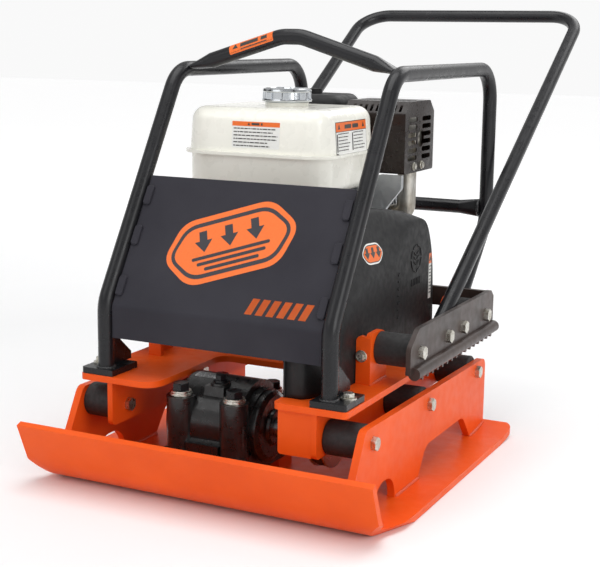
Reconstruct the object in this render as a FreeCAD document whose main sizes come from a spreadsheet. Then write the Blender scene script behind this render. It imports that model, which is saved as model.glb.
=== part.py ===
import FreeCAD, Part
import math
import os
import re
from types import SimpleNamespace
from FreeCAD import Placement, Rotation, Vector

# Vibratory plate compactor: a curled steel base plate with a belt-driven exciter, and a rubber-mounted
# engine deck that carries a small petrol engine, a tube cage, a shield and a folding handle.
# Frame: +Z up, front is -Y, the belt side is +X, origin at the middle of the plate's ground face.

doc = FreeCAD.newDocument("plate_compactor")
sheet = doc.addObject("Spreadsheet::Sheet", "dims")

SIZES = [
    # base plate and side plates
    ("plate_width", 618), ("plate_gauge", 11), ("flat_front", 205), ("flat_rear", 270),
    ("curl_radius", 70), ("curl_turn", 68), ("curl_height", 99),
    ("tail_radius", 300), ("tail_turn", 15),
    ("side_outer", 254), ("side_gauge", 12), ("side_front_top", 200), ("side_front_height", 149),
    ("side_rear_top", 338), ("side_rear_height", 139),
    # rubber isolators between the side plates and the deck
    ("isolator_radius", 27), ("isolator_height", 123), ("isolator_a", -174), ("isolator_b", 57),
    ("isolator_c", 291), ("rubber_gap", 0.3),
    # exciter
    ("exciter_x", -30), ("exciter_y", -105), ("exciter_z", 100), ("exciter_radius", 72),
    ("exciter_half", 58), ("collar_half", 71), ("collar_radius", 60), ("exciter_cavity", 47),
    ("bearing_outer", 40), ("bearing_bore", 17), ("bearing_width", 20),
    ("exciter_cap_radius", 57), ("exciter_cap_depth", 14),
    ("exciter_bolt_x", 48), ("exciter_bolt_y", 63), ("exciter_boss_radius", 23),
    ("exciter_boss_front", 150), ("exciter_boss_rear", 135), ("exciter_bar_height", 20), ("exciter_bolt_radius", 8),
    ("weight_radius", 40), ("weight_half", 34),
    # belt drive
    ("belt_x", 149), ("belt_width", 17), ("belt_depth", 11), ("driven_radius", 45), ("drum_radius", 71),
    ("sheave_width", 26), ("crank_y", 150), ("crank_z", 300), ("crank_radius", 12.7),
    # deck
    ("deck_top", 178), ("deck_gauge", 10), ("deck_front", 222), ("deck_rear", 352), ("deck_outer", 232),
    ("deck_waist", 214), ("deck_wing_rear", 130), ("web_outer", 183), ("web_gauge", 9),
    ("web_bottom", 97), ("bay_left", 94), ("bay_right", 112), ("bay_rear", 13),
    ("belt_slot_front", 135), ("belt_slot_rear", 108), ("belt_slot_half", 20),
    # upright tabs, upper isolators and handle brackets
    ("tab_outer", 202), ("tab_gauge", 8), ("tab_height", 231), ("tab_a", -33), ("tab_b", 279),
    ("tab_ear", 28), ("upper_isolator_radius", 26), ("bracket_inner", 262), ("bracket_gauge", 8),
    ("bracket_front", 74), ("bracket_rear", 321), ("bracket_top", 270), ("bracket_bottom", 203),
    ("rail_radius", 10), ("rail_bump", 4),
    # handle
    ("tube_radius", 12.7), ("tube_wall", 2.6), ("arm_x", 247), ("pivot_y", 88), ("pivot_z", 232),
    ("handle_y", 911), ("handle_z", 752), ("handle_bend", 62), ("eye_radius", 19),
    ("pivot_radius", 6), ("stop_y", 160), ("stop_z", 233),
    # cage
    ("hoop_x", 195.7), ("hoop_foot_y", -201.5), ("hoop_foot_z", 188), ("hoop_knee_z", 291.5),
    ("hoop_front_y", 17), ("hoop_top_z", 650), ("hoop_rear_y", 483), ("hoop_hip_z", 362),
    ("hoop_heel_y", 332), ("hoop_heel_z", 214), ("hoop_bend", 60), ("foot_gauge", 10),
    ("lift_y", 50), ("lift_half", 18), ("lift_z", 705),
    ("cross_z", 390),
    # shield
    ("shield_half", 182), ("shield_gauge", 3), ("shield_top_z", 482), ("shield_fold_z", 288),
    ("shield_bottom_z", 237),
    # engine
    ("engine_base", 188), ("tank_x", -53), ("tank_half", 138), ("tank_front", 8), ("tank_rear", 236),
    ("tank_seam", 515), ("tank_top", 590), ("tank_bottom", 452), ("cap_x", -43), ("cap_y", 120),
    ("cap_radius", 43), ("cap_height", 24),
    ("muffler_left", 8), ("muffler_right", 125), ("muffler_front", 241), ("muffler_rear", 379),
    ("muffler_bottom", 471), ("muffler_top", 596),
    ("guard_inner", 118), ("guard_outer", 176), ("guard_wall", 3),
]

for row, (alias, number) in enumerate(SIZES, start=1):
    sheet.set(f"A{row}", alias)
    sheet.set(f"B{row}", str(number))
    sheet.setAlias(f"B{row}", alias)
doc.recompute()

size = SimpleNamespace(**dict(SIZES))
ALIASES = {alias for alias, number in SIZES}
WORD = re.compile(r"[a-z][a-z_]*")
TURN = {
    "x": Rotation(Vector(0, 1, 0), 90),
    "y": Rotation(Vector(1, 0, 0), -90),
    "z": Rotation(),
}
nodes = []


# ---------------------------------------------------------------- building blocks

def formula(text):
    """The text as a spreadsheet expression: each alias gets the sheet's name in front."""
    return WORD.sub(lambda found: "dims." + found[0] if found[0] in ALIASES else found[0], text)


def bind(thing, field, amount):
    """Ties a length of the object to the sheet, or sets it when it is a plain number."""
    thing.setExpression(field, formula(str(amount)))


def place(thing, corner, rotation=Rotation()):
    thing.Placement = Placement(Vector(), rotation)
    for axis, amount in zip("xyz", corner):
        bind(thing, f"Placement.Base.{axis}", amount)


def keep(label, thing):
    """Marks the object as one finished sub-part, whose label names its file."""
    thing.Label = label
    nodes.append(thing)
    return thing


def block(name, lengths, corner, rotation=Rotation()):
    thing = doc.addObject("Part::Box", name)
    for field, amount in zip(("Length", "Width", "Height"), lengths):
        bind(thing, field, amount)
    place(thing, corner, rotation)
    return thing


def rod(name, radius, length, start, axis="x"):
    thing = doc.addObject("Part::Cylinder", name)
    bind(thing, "Radius", radius)
    bind(thing, "Height", length)
    place(thing, start, TURN[axis])
    return thing


def hexagon(name, radius, length, start, axis="x"):
    thing = doc.addObject("Part::Prism", name)
    thing.Polygon = 6
    bind(thing, "Circumradius", radius)
    bind(thing, "Height", length)
    place(thing, start, TURN[axis])
    return thing


def fuse(name, pieces):
    thing = doc.addObject("Part::MultiFuse", name)
    thing.Shapes = pieces
    return thing


def cut(name, base, tools):
    thing = doc.addObject("Part::Cut", name)
    thing.Base = base
    thing.Tool = tools[0] if len(tools) == 1 else fuse(name + "_tools", tools)
    return thing


def group(name, pieces):
    thing = doc.addObject("Part::Compound", name)
    thing.Links = pieces
    return thing


def solid(name, shape):
    thing = doc.addObject("Part::Feature", name)
    thing.Shape = shape
    return thing


def rounded(corners):
    """Edges of a closed outline. A corner is (x, y) or (x, y, radius)."""
    points = [Vector(corner[0], corner[1], 0) for corner in corners]
    radii = [corner[2] if len(corner) > 2 else 0 for corner in corners]
    count = len(points)
    starts = []
    ends = []
    arcs = []
    for index, corner in enumerate(points):
        inward = (points[index - 1] - corner).normalize()
        outward = (points[(index + 1) % count] - corner).normalize()
        radius = radii[index]
        if radius == 0:
            starts.append(corner)
            ends.append(corner)
            arcs.append(None)
            continue
        half = inward.getAngle(outward) / 2
        reach = radius / math.tan(half)
        middle = corner + (inward + outward).normalize() * (radius / math.sin(half) - radius)
        starts.append(corner + inward * reach)
        ends.append(corner + outward * reach)
        arcs.append(Part.Arc(starts[-1], middle, ends[-1]))
    edges = []
    for index in range(count):
        if arcs[index]:
            edges.append(arcs[index])
        following = starts[(index + 1) % count]
        if (following - ends[index]).Length > 1e-6:
            edges.append(Part.LineSegment(ends[index], following))
    return edges


def circle(x, y, radius):
    return [Part.Circle(Vector(x, y, 0), Vector(0, 0, 1), radius)]


def sketch_on(body, plane, loops):
    sketch = body.newObject("Sketcher::SketchObject", body.Name + "_sketch")
    origin = [feature for feature in body.Origin.OriginFeatures if feature.Role == plane][0]
    sketch.AttachmentSupport = [(origin, "")]
    sketch.MapMode = "FlatFace"
    for loop in loops:
        for edge in loop:
            sketch.addGeometry(edge, False)
    return sketch


def plate(name, plane, loops, gauge, corner):
    """A flat or extruded piece: closed loops on an origin plane, padded by the gauge."""
    body = doc.addObject("PartDesign::Body", name)
    sketch = sketch_on(body, plane, loops)
    pad = body.newObject("PartDesign::Pad", name + "_pad")
    pad.Profile = sketch
    bind(pad, "Length", gauge)
    place(body, corner)
    return body


def turned(name, corners, corner, axis="x"):
    """A piece turned on a lathe: corners are (along the axis, radius)."""
    body = doc.addObject("PartDesign::Body", name)
    if axis == "x":
        sketch = sketch_on(body, "XY_Plane", [rounded(corners)])
    else:
        sketch = sketch_on(body, "XZ_Plane", [rounded([(c[1], c[0], *c[2:]) for c in corners])])
    revolution = body.newObject("PartDesign::Revolution", name + "_turn")
    revolution.Profile = sketch
    revolution.ReferenceAxis = (sketch, ["H_Axis" if axis == "x" else "V_Axis"])
    revolution.Angle = 360
    place(body, corner)
    return body


def bent_path(points, radii):
    """A wire through the points, with each inner corner rounded to its radius."""
    edges = []
    start = points[0]
    for before, corner, after, radius in zip(points, points[1:], points[2:], radii):
        inward = (before - corner).normalize()
        outward = (after - corner).normalize()
        half = inward.getAngle(outward) / 2
        reach = radius / math.tan(half)
        first = corner + inward * reach
        last = corner + outward * reach
        middle = corner + (inward + outward).normalize() * (radius / math.sin(half) - radius)
        edges.append(Part.makeLine(start, first))
        edges.append(Part.Arc(first, middle, last).toShape())
        start = last
    edges.append(Part.makeLine(start, points[-1]))
    return Part.Wire(edges)


def swept(points, radii, radius):
    path = bent_path(points, radii)
    ring = Part.Wire(Part.Circle(points[0], points[1] - points[0], radius).toShape())
    return path.makePipeShell([ring], True, False)


def bent_tube(points, radii):
    """A round steel tube of the cage's size, hollow and open at both ends."""
    outer = swept(points, radii, size.tube_radius)
    inner = swept(points, radii, size.tube_radius - size.tube_wall)
    return outer.cut(inner)


# ---------------------------------------------------------------- base plate

def along_curl(radius, turn):
    """A point on the front curl, at this radius from the curl's centre."""
    angle = math.radians(turn)
    return Vector(-size.flat_front - radius * math.sin(angle), size.curl_radius - radius * math.cos(angle), 0)


def along_tail(radius, turn):
    """A point on the raised rear end, at this radius from its centre."""
    angle = math.radians(turn)
    return Vector(size.flat_rear + radius * math.sin(angle), size.tail_radius - radius * math.cos(angle), 0)


def base_plate():
    gauge = size.plate_gauge
    turn = size.curl_turn
    outer_end = along_curl(size.curl_radius, turn)
    slope = Vector(-math.cos(math.radians(turn)), math.sin(math.radians(turn)), 0)
    lip = outer_end + slope * ((size.curl_height - outer_end.y) / slope.y)
    lip_inner = lip + Vector(slope.y, -slope.x, 0) * gauge
    inner = size.curl_radius - gauge
    tail_inner = size.tail_radius - gauge
    loop = [
        Part.Arc(along_tail(size.tail_radius, size.tail_turn), along_tail(size.tail_radius, size.tail_turn / 2),
                 along_tail(size.tail_radius, 0)),
        Part.LineSegment(along_tail(size.tail_radius, 0), along_curl(size.curl_radius, 0)),
        Part.Arc(along_curl(size.curl_radius, 0), along_curl(size.curl_radius, turn / 2), outer_end),
        Part.LineSegment(outer_end, lip),
        Part.LineSegment(lip, lip_inner),
        Part.LineSegment(lip_inner, along_curl(inner, turn)),
        Part.Arc(along_curl(inner, turn), along_curl(inner, turn / 2), along_curl(inner, 0)),
        Part.LineSegment(along_curl(inner, 0), along_tail(tail_inner, 0)),
        Part.Arc(along_tail(tail_inner, 0), along_tail(tail_inner, size.tail_turn / 2),
                 along_tail(tail_inner, size.tail_turn)),
        Part.LineSegment(along_tail(tail_inner, size.tail_turn), along_tail(size.tail_radius, size.tail_turn)),
    ]
    strip = plate("base_strip", "YZ_Plane", [loop], "plate_width", ("-plate_width / 2", 0, 0))
    half = size.plate_width / 2
    nose = half - 4
    front = -size.flat_front - 110
    rear = size.flat_rear + 78
    plan = [(-nose, front), (nose, front), (nose, front + 60), (half, front + 175), (half, rear, 24),
            (-half, rear, 24), (-half, front + 175), (-nose, front + 60)]
    outline = plate("base_plan", "XY_Plane", [rounded(plan)], 200, (0, 0, -20))
    trimmed = doc.addObject("Part::Common", "base_trimmed")
    trimmed.Base = strip
    trimmed.Tool = outline
    bevels = []
    reach = 150
    for side in (1, -1):
        # the plane through three points of the bevelled corner under the curl
        hinge = Vector(side * half, -138, 0)
        low = Vector(side * 265, -250, 0)
        high = Vector(side * nose, -258, 34)
        normal = (low - hinge).cross(high - hinge) * side
        rotation = Rotation(Vector(0, 0, 1), normal * -1)
        corner = hinge + rotation.multVec(Vector(-reach, -reach, 0))
        bevels.append(block(f"base_bevel_{side + 1}", (2 * reach, 2 * reach, 60), corner, rotation))
    return keep("base_plate", cut("base_plate", trimmed, bevels))


def side_plate(label, inner_face):
    gauge = size.plate_gauge
    inner = size.curl_radius - gauge
    tail_inner = size.tail_radius - gauge
    tail_turn = math.degrees(math.asin((size.side_rear_top - size.flat_rear) / tail_inner))
    foot = along_tail(tail_inner, tail_turn)
    toe = along_curl(inner, 64)
    upper = rounded([
        (toe.x, toe.y),
        (-size.flat_front, gauge),
        (-165, gauge), (-165, 51, 36), (-85, 51, 36), (-85, gauge),
        (13, gauge), (46, 57, 34), (224, 57, 32), (264, gauge),
        (size.flat_rear, gauge),
        (foot.x, foot.y),
        (size.side_rear_top, size.side_rear_height, 16),
        (-size.side_front_top, size.side_front_height, 16),
    ])
    # the two stretches that lie on the curl and on the raised tail are arcs
    upper = [edge for edge in upper if not lies_on_bend(edge, toe, foot)]
    curl = Part.Arc(toe, along_curl(inner, 32), along_curl(inner, 0))
    tail = Part.Arc(along_tail(tail_inner, 0), along_tail(tail_inner, tail_turn / 2), foot)
    holes = [circle(y, size.isolator_height, 6.3)
             for y in (size.isolator_a, size.isolator_b, size.isolator_c)]
    return keep(label, plate(label, "YZ_Plane", [upper + [curl, tail]] + holes, "side_gauge", (inner_face, 0, 0)))


def lies_on_bend(edge, toe, foot):
    ends = (edge.StartPoint, edge.EndPoint)
    starts_at_toe = (ends[0] - toe).Length < 1e-6 and ends[1].y < toe.y
    ends_at_foot = (ends[1] - foot).Length < 1e-6 and ends[0].y < foot.y
    return starts_at_toe or ends_at_foot


# ---------------------------------------------------------------- fasteners

def bolt_head(name, radius, height, start, axis):
    """A hexagon whose outer corners are turned off at thirty degrees."""
    prism = hexagon(name + "_prism", radius, height, start, axis)
    face_radius = 0.88 * radius
    turning = doc.addObject("Part::Cone", name + "_turning")
    turning.Radius1 = face_radius + height * math.tan(math.radians(60))
    turning.Radius2 = face_radius
    turning.Height = height
    place(turning, start, TURN[axis])
    head = doc.addObject("Part::MultiCommon", name)
    head.Shapes = [prism, turning]
    return head


def hex_bolt(name, start, axis, head_radius, head_height, shank_radius, shank_length, washer=0,
             washer_radius=None):
    """A bolt whose head starts at the point and points along +axis, with its shank behind."""
    shift = {"x": (1, 0, 0), "y": (0, 1, 0), "z": (0, 0, 1)}[axis]

    def along(distance):
        return tuple(f"{position} + {distance * step}" for position, step in zip(start, shift))

    pieces = [bolt_head(name + "_head", head_radius, head_height, along(washer), axis)]
    if washer:
        pieces.append(rod(name + "_washer", washer_radius or head_radius * 1.18, washer, along(0), axis))
    pieces.append(rod(name + "_shank", shank_radius, shank_length + 1, along(-shank_length), axis))
    return fuse(name, pieces)


def side_plate_bolts():
    bolts = []
    for row, y in enumerate(("isolator_a", "isolator_b", "isolator_c")):
        right = ("side_outer", y, "isolator_height")
        bolts.append(hex_bolt(f"side_bolt_right_{row}", right, "x", 11, 8, 6, 28))
        left = ("-side_outer - 8", y, "isolator_height")
        head = hexagon(f"side_bolt_left_{row}_head", 11, 8, left)
        shank = rod(f"side_bolt_left_{row}_shank", 6, 29, ("-side_outer - 1", y, "isolator_height"))
        bolts.append(fuse(f"side_bolt_left_{row}", [head, shank]))
    return keep("side_plate_bolts", group("side_plate_bolts", bolts))


def rubber(name, start, y, height, radius, length):
    """A bonded rubber mount lying along X, with a blind stud bore at each end."""
    bore = 6.3
    depth = 18
    corners = [(0, bore), (0, radius - 1.5), (1.5, radius), (length - 1.5, radius), (length, radius - 1.5),
               (length, bore), (length - depth, bore), (length - depth, 0), (depth, 0), (depth, bore)]
    return turned(name, corners, (start, y, height))


def deck_isolators():
    gap = size.rubber_gap
    length = size.side_outer - size.side_gauge - size.web_outer - gap
    pieces = []
    for row, y in enumerate(("isolator_a", "isolator_b", "isolator_c")):
        for side, start in (("right", "web_outer + rubber_gap"), ("left", "side_gauge - side_outer")):
            name = f"deck_isolator_{side}_{row}"
            pieces.append(rubber(name, start, y, "isolator_height", size.isolator_radius, length))
    return keep("deck_isolators", group("deck_isolators", pieces))


# ---------------------------------------------------------------- exciter

def exciter_corners():
    """The four bolt places of the exciter, as sheet formulas."""
    return [(f"exciter_x {a} exciter_bolt_x", f"exciter_y {b} exciter_bolt_y") for a in "-+" for b in "-+"]


def exciter_boss_top(y):
    """The front pair of bosses stands taller than the pair behind the barrel."""
    return "exciter_boss_rear" if "+" in y else "exciter_boss_front"


def exciter_mount_bars():
    bars = []
    for row, sign in enumerate("-+"):
        y = f"exciter_y {sign} exciter_bolt_y"
        bar = block(f"exciter_bar_{row}", (146, 46, "exciter_bar_height"),
                    ("exciter_x - 73", y + " - 23", "plate_gauge"))
        holes = [rod(f"exciter_bar_hole_{row}_{side}", 8.1, 40, (f"exciter_x {mark} exciter_bolt_x", y, 14), "z")
                 for side, mark in enumerate("-+")]
        bars.append(cut(f"exciter_bar_cut_{row}", bar, holes))
    return keep("exciter_mount_bars", group("exciter_mount_bars", bars))


def exciter_saddle():
    """The web that sweeps down from the filler to the full width between the front bosses."""
    sections = []
    for z, half_width, front in ((80, 34, -183), (92, 27, -170), (112, 22, -163), (140, 18.5, -158), (166, 17, -154)):
        centre = size.exciter_x + 4
        corners = [Vector(centre - half_width, front, z), Vector(centre + half_width, front, z),
                   Vector(centre + half_width, size.exciter_y, z), Vector(centre - half_width, size.exciter_y, z)]
        sections.append(Part.makePolygon(corners + corners[:1]))
    return solid("exciter_saddle", Part.makeLoft(sections, True, False))


def exciter_housing():
    floor = "plate_gauge + exciter_bar_height"
    barrel = rod("exciter_barrel", "exciter_radius", "2 * exciter_half",
                 ("exciter_x - exciter_half", "exciter_y", "exciter_z"))
    collar = rod("exciter_collar", "collar_radius", "2 * collar_half",
                 ("exciter_x - collar_half", "exciter_y", "exciter_z"))
    base = block("exciter_base", ("2 * collar_half", "2 * exciter_bolt_y + 46", 34),
                 ("exciter_x - collar_half", "exciter_y - exciter_bolt_y - 23", floor))
    bosses = [rod(f"exciter_boss_{index}", "exciter_boss_radius", exciter_boss_top(y) + " - plate_gauge - 20",
                  (x, y, floor), "z") for index, (x, y) in enumerate(exciter_corners())]
    filler = rod("exciter_filler_boss", 16, 46, ("exciter_x + 6", "exciter_y - 32", 124), "z")
    ribs = []
    for index, (x, y) in enumerate(exciter_corners()):
        shift = "- 0" if "- exciter_bolt_y" in y else "- 34"
        ribs.append(block(f"exciter_rib_{index}", (12, 34, 60), (x + " - 6", y + shift, 80)))
    web = exciter_saddle()
    ledge = block("exciter_ledge", (58, 72, 49), ("exciter_x - 29", "exciter_y - 82", floor))
    whole = fuse("exciter_casting", [barrel, collar, base, filler, web, ledge] + bosses + ribs)
    bore = rod("exciter_bore", "bearing_outer + 0.03", "2 * collar_half + 2",
               ("exciter_x - collar_half - 1", "exciter_y", "exciter_z"))
    chamber = rod("exciter_chamber", "exciter_cavity", "2 * (collar_half - bearing_width - 2)",
                  ("exciter_x - collar_half + bearing_width + 2", "exciter_y", "exciter_z"))
    under = block("exciter_under", (400, 400, 60), ("exciter_x - 200", "exciter_y - 200", f"{floor} - 60"))
    holes = [rod(f"exciter_hole_{index}", 8.6, 200, (x, y, 0), "z")
             for index, (x, y) in enumerate(exciter_corners())]
    spot_faces = [rod(f"exciter_spot_face_{index}", 18.6, 40, (x, y, exciter_boss_top(y)), "z")
                  for index, (x, y) in enumerate(exciter_corners())]
    spout = rod("exciter_spout", 6.2, 60, ("exciter_x + 6", "exciter_y - 32", 130), "z")
    tools = [bore, chamber, under, spout] + holes + spot_faces
    return keep("exciter_housing", cut("exciter_housing", whole, tools))


def exciter_caps():
    """Bolted bearing covers: the left one is blind, the belt side one has the shaft hole."""
    radius = size.exciter_cap_radius
    depth = size.exciter_cap_depth
    dome = [(0, 0), (0, radius - 8), (5, radius, 3), (depth, radius), (depth, 0)]
    left = ("exciter_x - collar_half - exciter_cap_depth", "exciter_y", "exciter_z")
    keep("exciter_cap_left", turned("exciter_cap_left", dome, left))
    hole = 15.2
    ring = [(0, hole), (0, radius), (depth - 5, radius, 3), (depth, radius - 8), (depth, hole + 14, 2),
            (depth + 6, hole + 12, 2), (depth + 6, hole)]
    right = ("exciter_x + collar_half", "exciter_y", "exciter_z")
    keep("exciter_cap_right", turned("exciter_cap_right", ring, right))


def exciter_bearings():
    outer = size.bearing_outer
    width = size.bearing_width
    bore = size.bearing_bore + 0.03
    ring = [(0, bore), (0, bore + 6), (2, bore + 7), (2, outer - 7), (0, outer - 6), (0, outer),
            (width, outer), (width, outer - 6), (width - 2, outer - 7), (width - 2, bore + 7),
            (width, bore + 6), (width, bore)]
    places = ("exciter_x - collar_half + 1", "exciter_x + collar_half - bearing_width - 1")
    rings = [turned(f"exciter_bearing_{row}", ring, (x, "exciter_y", "exciter_z"))
             for row, x in enumerate(places)]
    return keep("exciter_bearings", group("exciter_bearings", rings))


def exciter_bolts():
    bolts = []
    for index, (x, y) in enumerate(exciter_corners()):
        top = exciter_boss_top(y)
        bolts.append(hex_bolt(f"exciter_bolt_{index}", (x, y, top), "z", 14.4, 12, "exciter_bolt_radius",
                              getattr(size, top) - 16, washer=8, washer_radius=18))
    keep("exciter_bolts", group("exciter_bolts", bolts))
    plug = [hexagon("filler_plug_head", 9, 8, ("exciter_x + 6", "exciter_y - 32", 174), "z"),
            rod("filler_plug_flange", 11, 4, ("exciter_x + 6", "exciter_y - 32", 170), "z"),
            rod("filler_plug_stem", 6, 20, ("exciter_x + 6", "exciter_y - 32", 151), "z")]
    keep("exciter_plug", fuse("exciter_plug", plug))


def exciter_rotor():
    journal = size.bearing_bore
    half = size.collar_half
    snout = 14.9
    end = size.belt_x + size.sheave_width / 2 + 4 - size.exciter_x
    steps = [(-half + 2, 0), (-half + 2, journal), (half - 1, journal), (half - 1, snout), (end, snout), (end, 0)]
    keep("exciter_shaft", turned("exciter_shaft", steps, ("exciter_x", "exciter_y", "exciter_z")))
    disc = rod("weight_disc", "weight_radius", "2 * weight_half",
               ("exciter_x - weight_half", "exciter_y", "exciter_z"))
    hub = rod("weight_hub", "bearing_bore + 7", "2 * weight_half",
              ("exciter_x - weight_half", "exciter_y", "exciter_z"))
    upper = block("weight_upper", ("2 * weight_half + 2", 120, 60),
                  ("exciter_x - weight_half - 1", "exciter_y - 60", "exciter_z"))
    bore = rod("weight_bore", "bearing_bore + 0.02", "2 * weight_half + 2",
               ("exciter_x - weight_half - 1", "exciter_y", "exciter_z"))
    half_disc = cut("weight_half_disc", disc, [upper])
    keep("exciter_weight", cut("exciter_weight", fuse("weight_body", [half_disc, hub]), [bore]))
    wheel = sheave(size.driven_radius, snout + 0.02)
    keep("exciter_pulley", turned("exciter_pulley", wheel, ("belt_x", "exciter_y", "exciter_z")))


def sheave(pitch, bore):
    """Half section of a V-belt pulley, its groove open outwards."""
    half = size.sheave_width / 2
    rim = pitch + 3.5
    root = pitch - 9
    mouth = size.belt_width / 2 + 0.8
    return [(-half, bore), (-half, rim), (-mouth, rim), (-mouth + 3, root), (mouth - 3, root), (mouth, rim),
            (half, rim), (half, bore)]


def belt_edges(driven, drum):
    """The loop of a belt around two wheels with these radii, in the YZ plane."""
    low = Vector(size.exciter_y, size.exciter_z, 0)
    high = Vector(size.crank_y, size.crank_z, 0)
    span = high - low
    base = math.atan2(span.y, span.x)
    lean = math.acos((drum - driven) / span.Length)

    def rim(centre, radius, angle):
        return centre + Vector(math.cos(angle), math.sin(angle), 0) * radius

    # tangent points lie at this angle on either side of the line from the drum to the small wheel
    toward = base + math.pi
    first = toward + lean
    second = toward - lean
    return [
        Part.Arc(rim(high, drum, second), rim(high, drum, base), rim(high, drum, first)),
        Part.LineSegment(rim(high, drum, first), rim(low, driven, first)),
        Part.Arc(rim(low, driven, first), rim(low, driven, toward), rim(low, driven, second)),
        Part.LineSegment(rim(low, driven, second), rim(high, drum, second)),
    ]


def drive_belt():
    outer = belt_edges(size.driven_radius + 2, size.drum_radius + 2)
    inner = belt_edges(size.driven_radius + 2 - size.belt_depth + 2, size.drum_radius + 2 - size.belt_depth + 2)
    width = size.belt_width - 5
    return keep("drive_belt", plate("drive_belt", "YZ_Plane", [outer, inner], width, (f"belt_x - {width / 2}", 0, 0)))


# ---------------------------------------------------------------- engine deck

def deck_plate():
    top = size.deck_front
    wing = size.deck_outer
    waist = size.deck_waist
    outline = rounded([
        (-wing, -top, 8), (-size.bay_left, -top, 30), (-size.bay_left, -size.bay_rear, 22),
        (size.bay_right, -size.bay_rear, 22), (size.bay_right, -top, 10), (wing, -top, 8),
        (wing, size.deck_wing_rear, 12), (waist, size.deck_wing_rear + 22, 8), (waist, size.deck_rear, 12),
        (-waist, size.deck_rear, 12), (-waist, size.deck_wing_rear + 22, 8), (-wing, size.deck_wing_rear, 12),
    ])
    slot = rounded([
        (size.belt_x - size.belt_slot_half, -size.belt_slot_front, 8),
        (size.belt_x + size.belt_slot_half, -size.belt_slot_front, 8),
        (size.belt_x + size.belt_slot_half, size.belt_slot_rear, 8),
        (size.belt_x - size.belt_slot_half, size.belt_slot_rear, 8),
    ])
    holes = [circle(x, y, 5.4) for x, y in deck_hole_places()]
    loops = [outline, slot] + holes
    return keep("deck_plate", plate("deck_plate", "XY_Plane", loops, "deck_gauge", (0, 0, "deck_top - deck_gauge")))


FRONT_FOOT_BOLT = (218, -184)
REAR_FOOT_BOLT = (160, 332)
ENGINE_BOLT_X = (-66, 80)
ENGINE_BOLT_Y = (70, 236)


def deck_hole_places():
    feet = [(side * x, y) for side in (1, -1) for x, y in (FRONT_FOOT_BOLT, REAR_FOOT_BOLT)]
    return feet + [(x, y) for x in ENGINE_BOLT_X for y in ENGINE_BOLT_Y]


def deck_web(label, inner_face):
    low = size.web_bottom
    high = size.deck_top - size.deck_gauge
    outline = rounded([(-size.deck_front + 4, low, 10), (size.deck_rear - 24, low, 14),
                       (size.deck_rear - 6, high), (-size.deck_front + 4, high)])
    holes = [circle(y, size.isolator_height, 6.3) for y in (size.isolator_a, size.isolator_b, size.isolator_c)]
    return keep(label, plate(label, "YZ_Plane", [outline] + holes, "web_gauge", (inner_face, 0, 0)))


def deck_front_plate():
    """Closes the front of the hollow arm that covers the exciter pulley."""
    inner = size.bay_right + 7
    outer = size.web_outer - size.web_gauge
    low = size.web_bottom + 2
    high = size.deck_top - size.deck_gauge
    loop = rounded([(inner, low, 5), (outer, low), (outer, high), (inner, high)])
    return keep("deck_front_plate", plate("deck_front_plate", "XZ_Plane", [loop], "web_gauge",
                                          (0, "9 - deck_front + 5", 0)))


def deck_bolts():
    """The inner bolts of the lower mounts and the nuts behind the upper ones."""
    bolts = []
    for row, y in enumerate(("isolator_a", "isolator_b", "isolator_c")):
        right = ("web_outer - web_gauge - 8", y, "isolator_height")
        left = ("web_gauge - web_outer", y, "isolator_height")
        for side, start, shank in (("right", right, "web_outer - web_gauge - 1"), ("left", left, "-web_outer")):
            head = hexagon(f"web_bolt_{side}_{row}_head", 11, 8, start)
            stem = rod(f"web_bolt_{side}_{row}_stem", 6, "web_gauge + 1", (shank, y, "isolator_height"))
            bolts.append(fuse(f"web_bolt_{side}_{row}", [head, stem]))
    for row, y in enumerate(("tab_a", "tab_b")):
        right = ("tab_outer - tab_gauge - 8", "tab_outer - tab_gauge - 1")
        left = ("tab_gauge - tab_outer", "-tab_outer - 15")
        for side, (start, stem) in (("right", right), ("left", left)):
            head = hexagon(f"tab_nut_{side}_{row}_head", 10, 8, (start, y, "tab_height"))
            stud = rod(f"tab_nut_{side}_{row}_stud", 6, "tab_gauge + 16", (stem, y, "tab_height"))
            bolts.append(fuse(f"tab_nut_{side}_{row}", [head, stud]))
    return keep("deck_bolts", group("deck_bolts", bolts))


def handle_tabs():
    tabs = []
    deck = size.deck_top
    ear = size.tab_ear
    top = size.tab_height + ear
    for row, (y, front, front_round, flange_y, flange_height) in enumerate((
            (size.tab_a, 37, 10, size.tab_a - 29, 74), (size.tab_b, ear, ear - 1, size.tab_b + ear, 44))):
        cheek = rounded([(y - front, deck), (y + ear, deck), (y + ear, top, ear - 1),
                         (y - front, top, front_round)])
        bore = circle(y, size.tab_height, 6.3)
        flange = rounded([(0, 0), (24, 0), (24, flange_height), (0, flange_height + 4, 8)])
        for side, face, corner in (("right", "tab_outer - tab_gauge", "tab_outer - 24"),
                                   ("left", "-tab_outer", "-tab_outer")):
            upright = plate(f"tab_cheek_{side}_{row}", "YZ_Plane", [cheek, bore], "tab_gauge", (face, 0, 0))
            front = plate(f"tab_flange_{side}_{row}", "XZ_Plane", [flange], 8, (corner, flange_y, "deck_top"))
            tabs.append(fuse(f"tab_{side}_{row}", [upright, front]))
    return keep("handle_tabs", group("handle_tabs", tabs))


def handle_isolators():
    length = size.bracket_inner - size.tab_outer - size.rubber_gap
    pieces = []
    for row, y in enumerate(("tab_a", "tab_b")):
        for side, start in (("right", "tab_outer"), ("left", "rubber_gap - bracket_inner")):
            name = f"handle_isolator_{side}_{row}"
            pieces.append(rubber(name, start, y, "tab_height", size.upper_isolator_radius, length))
    return keep("handle_isolators", group("handle_isolators", pieces))


# ---------------------------------------------------------------- cage and shield

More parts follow.
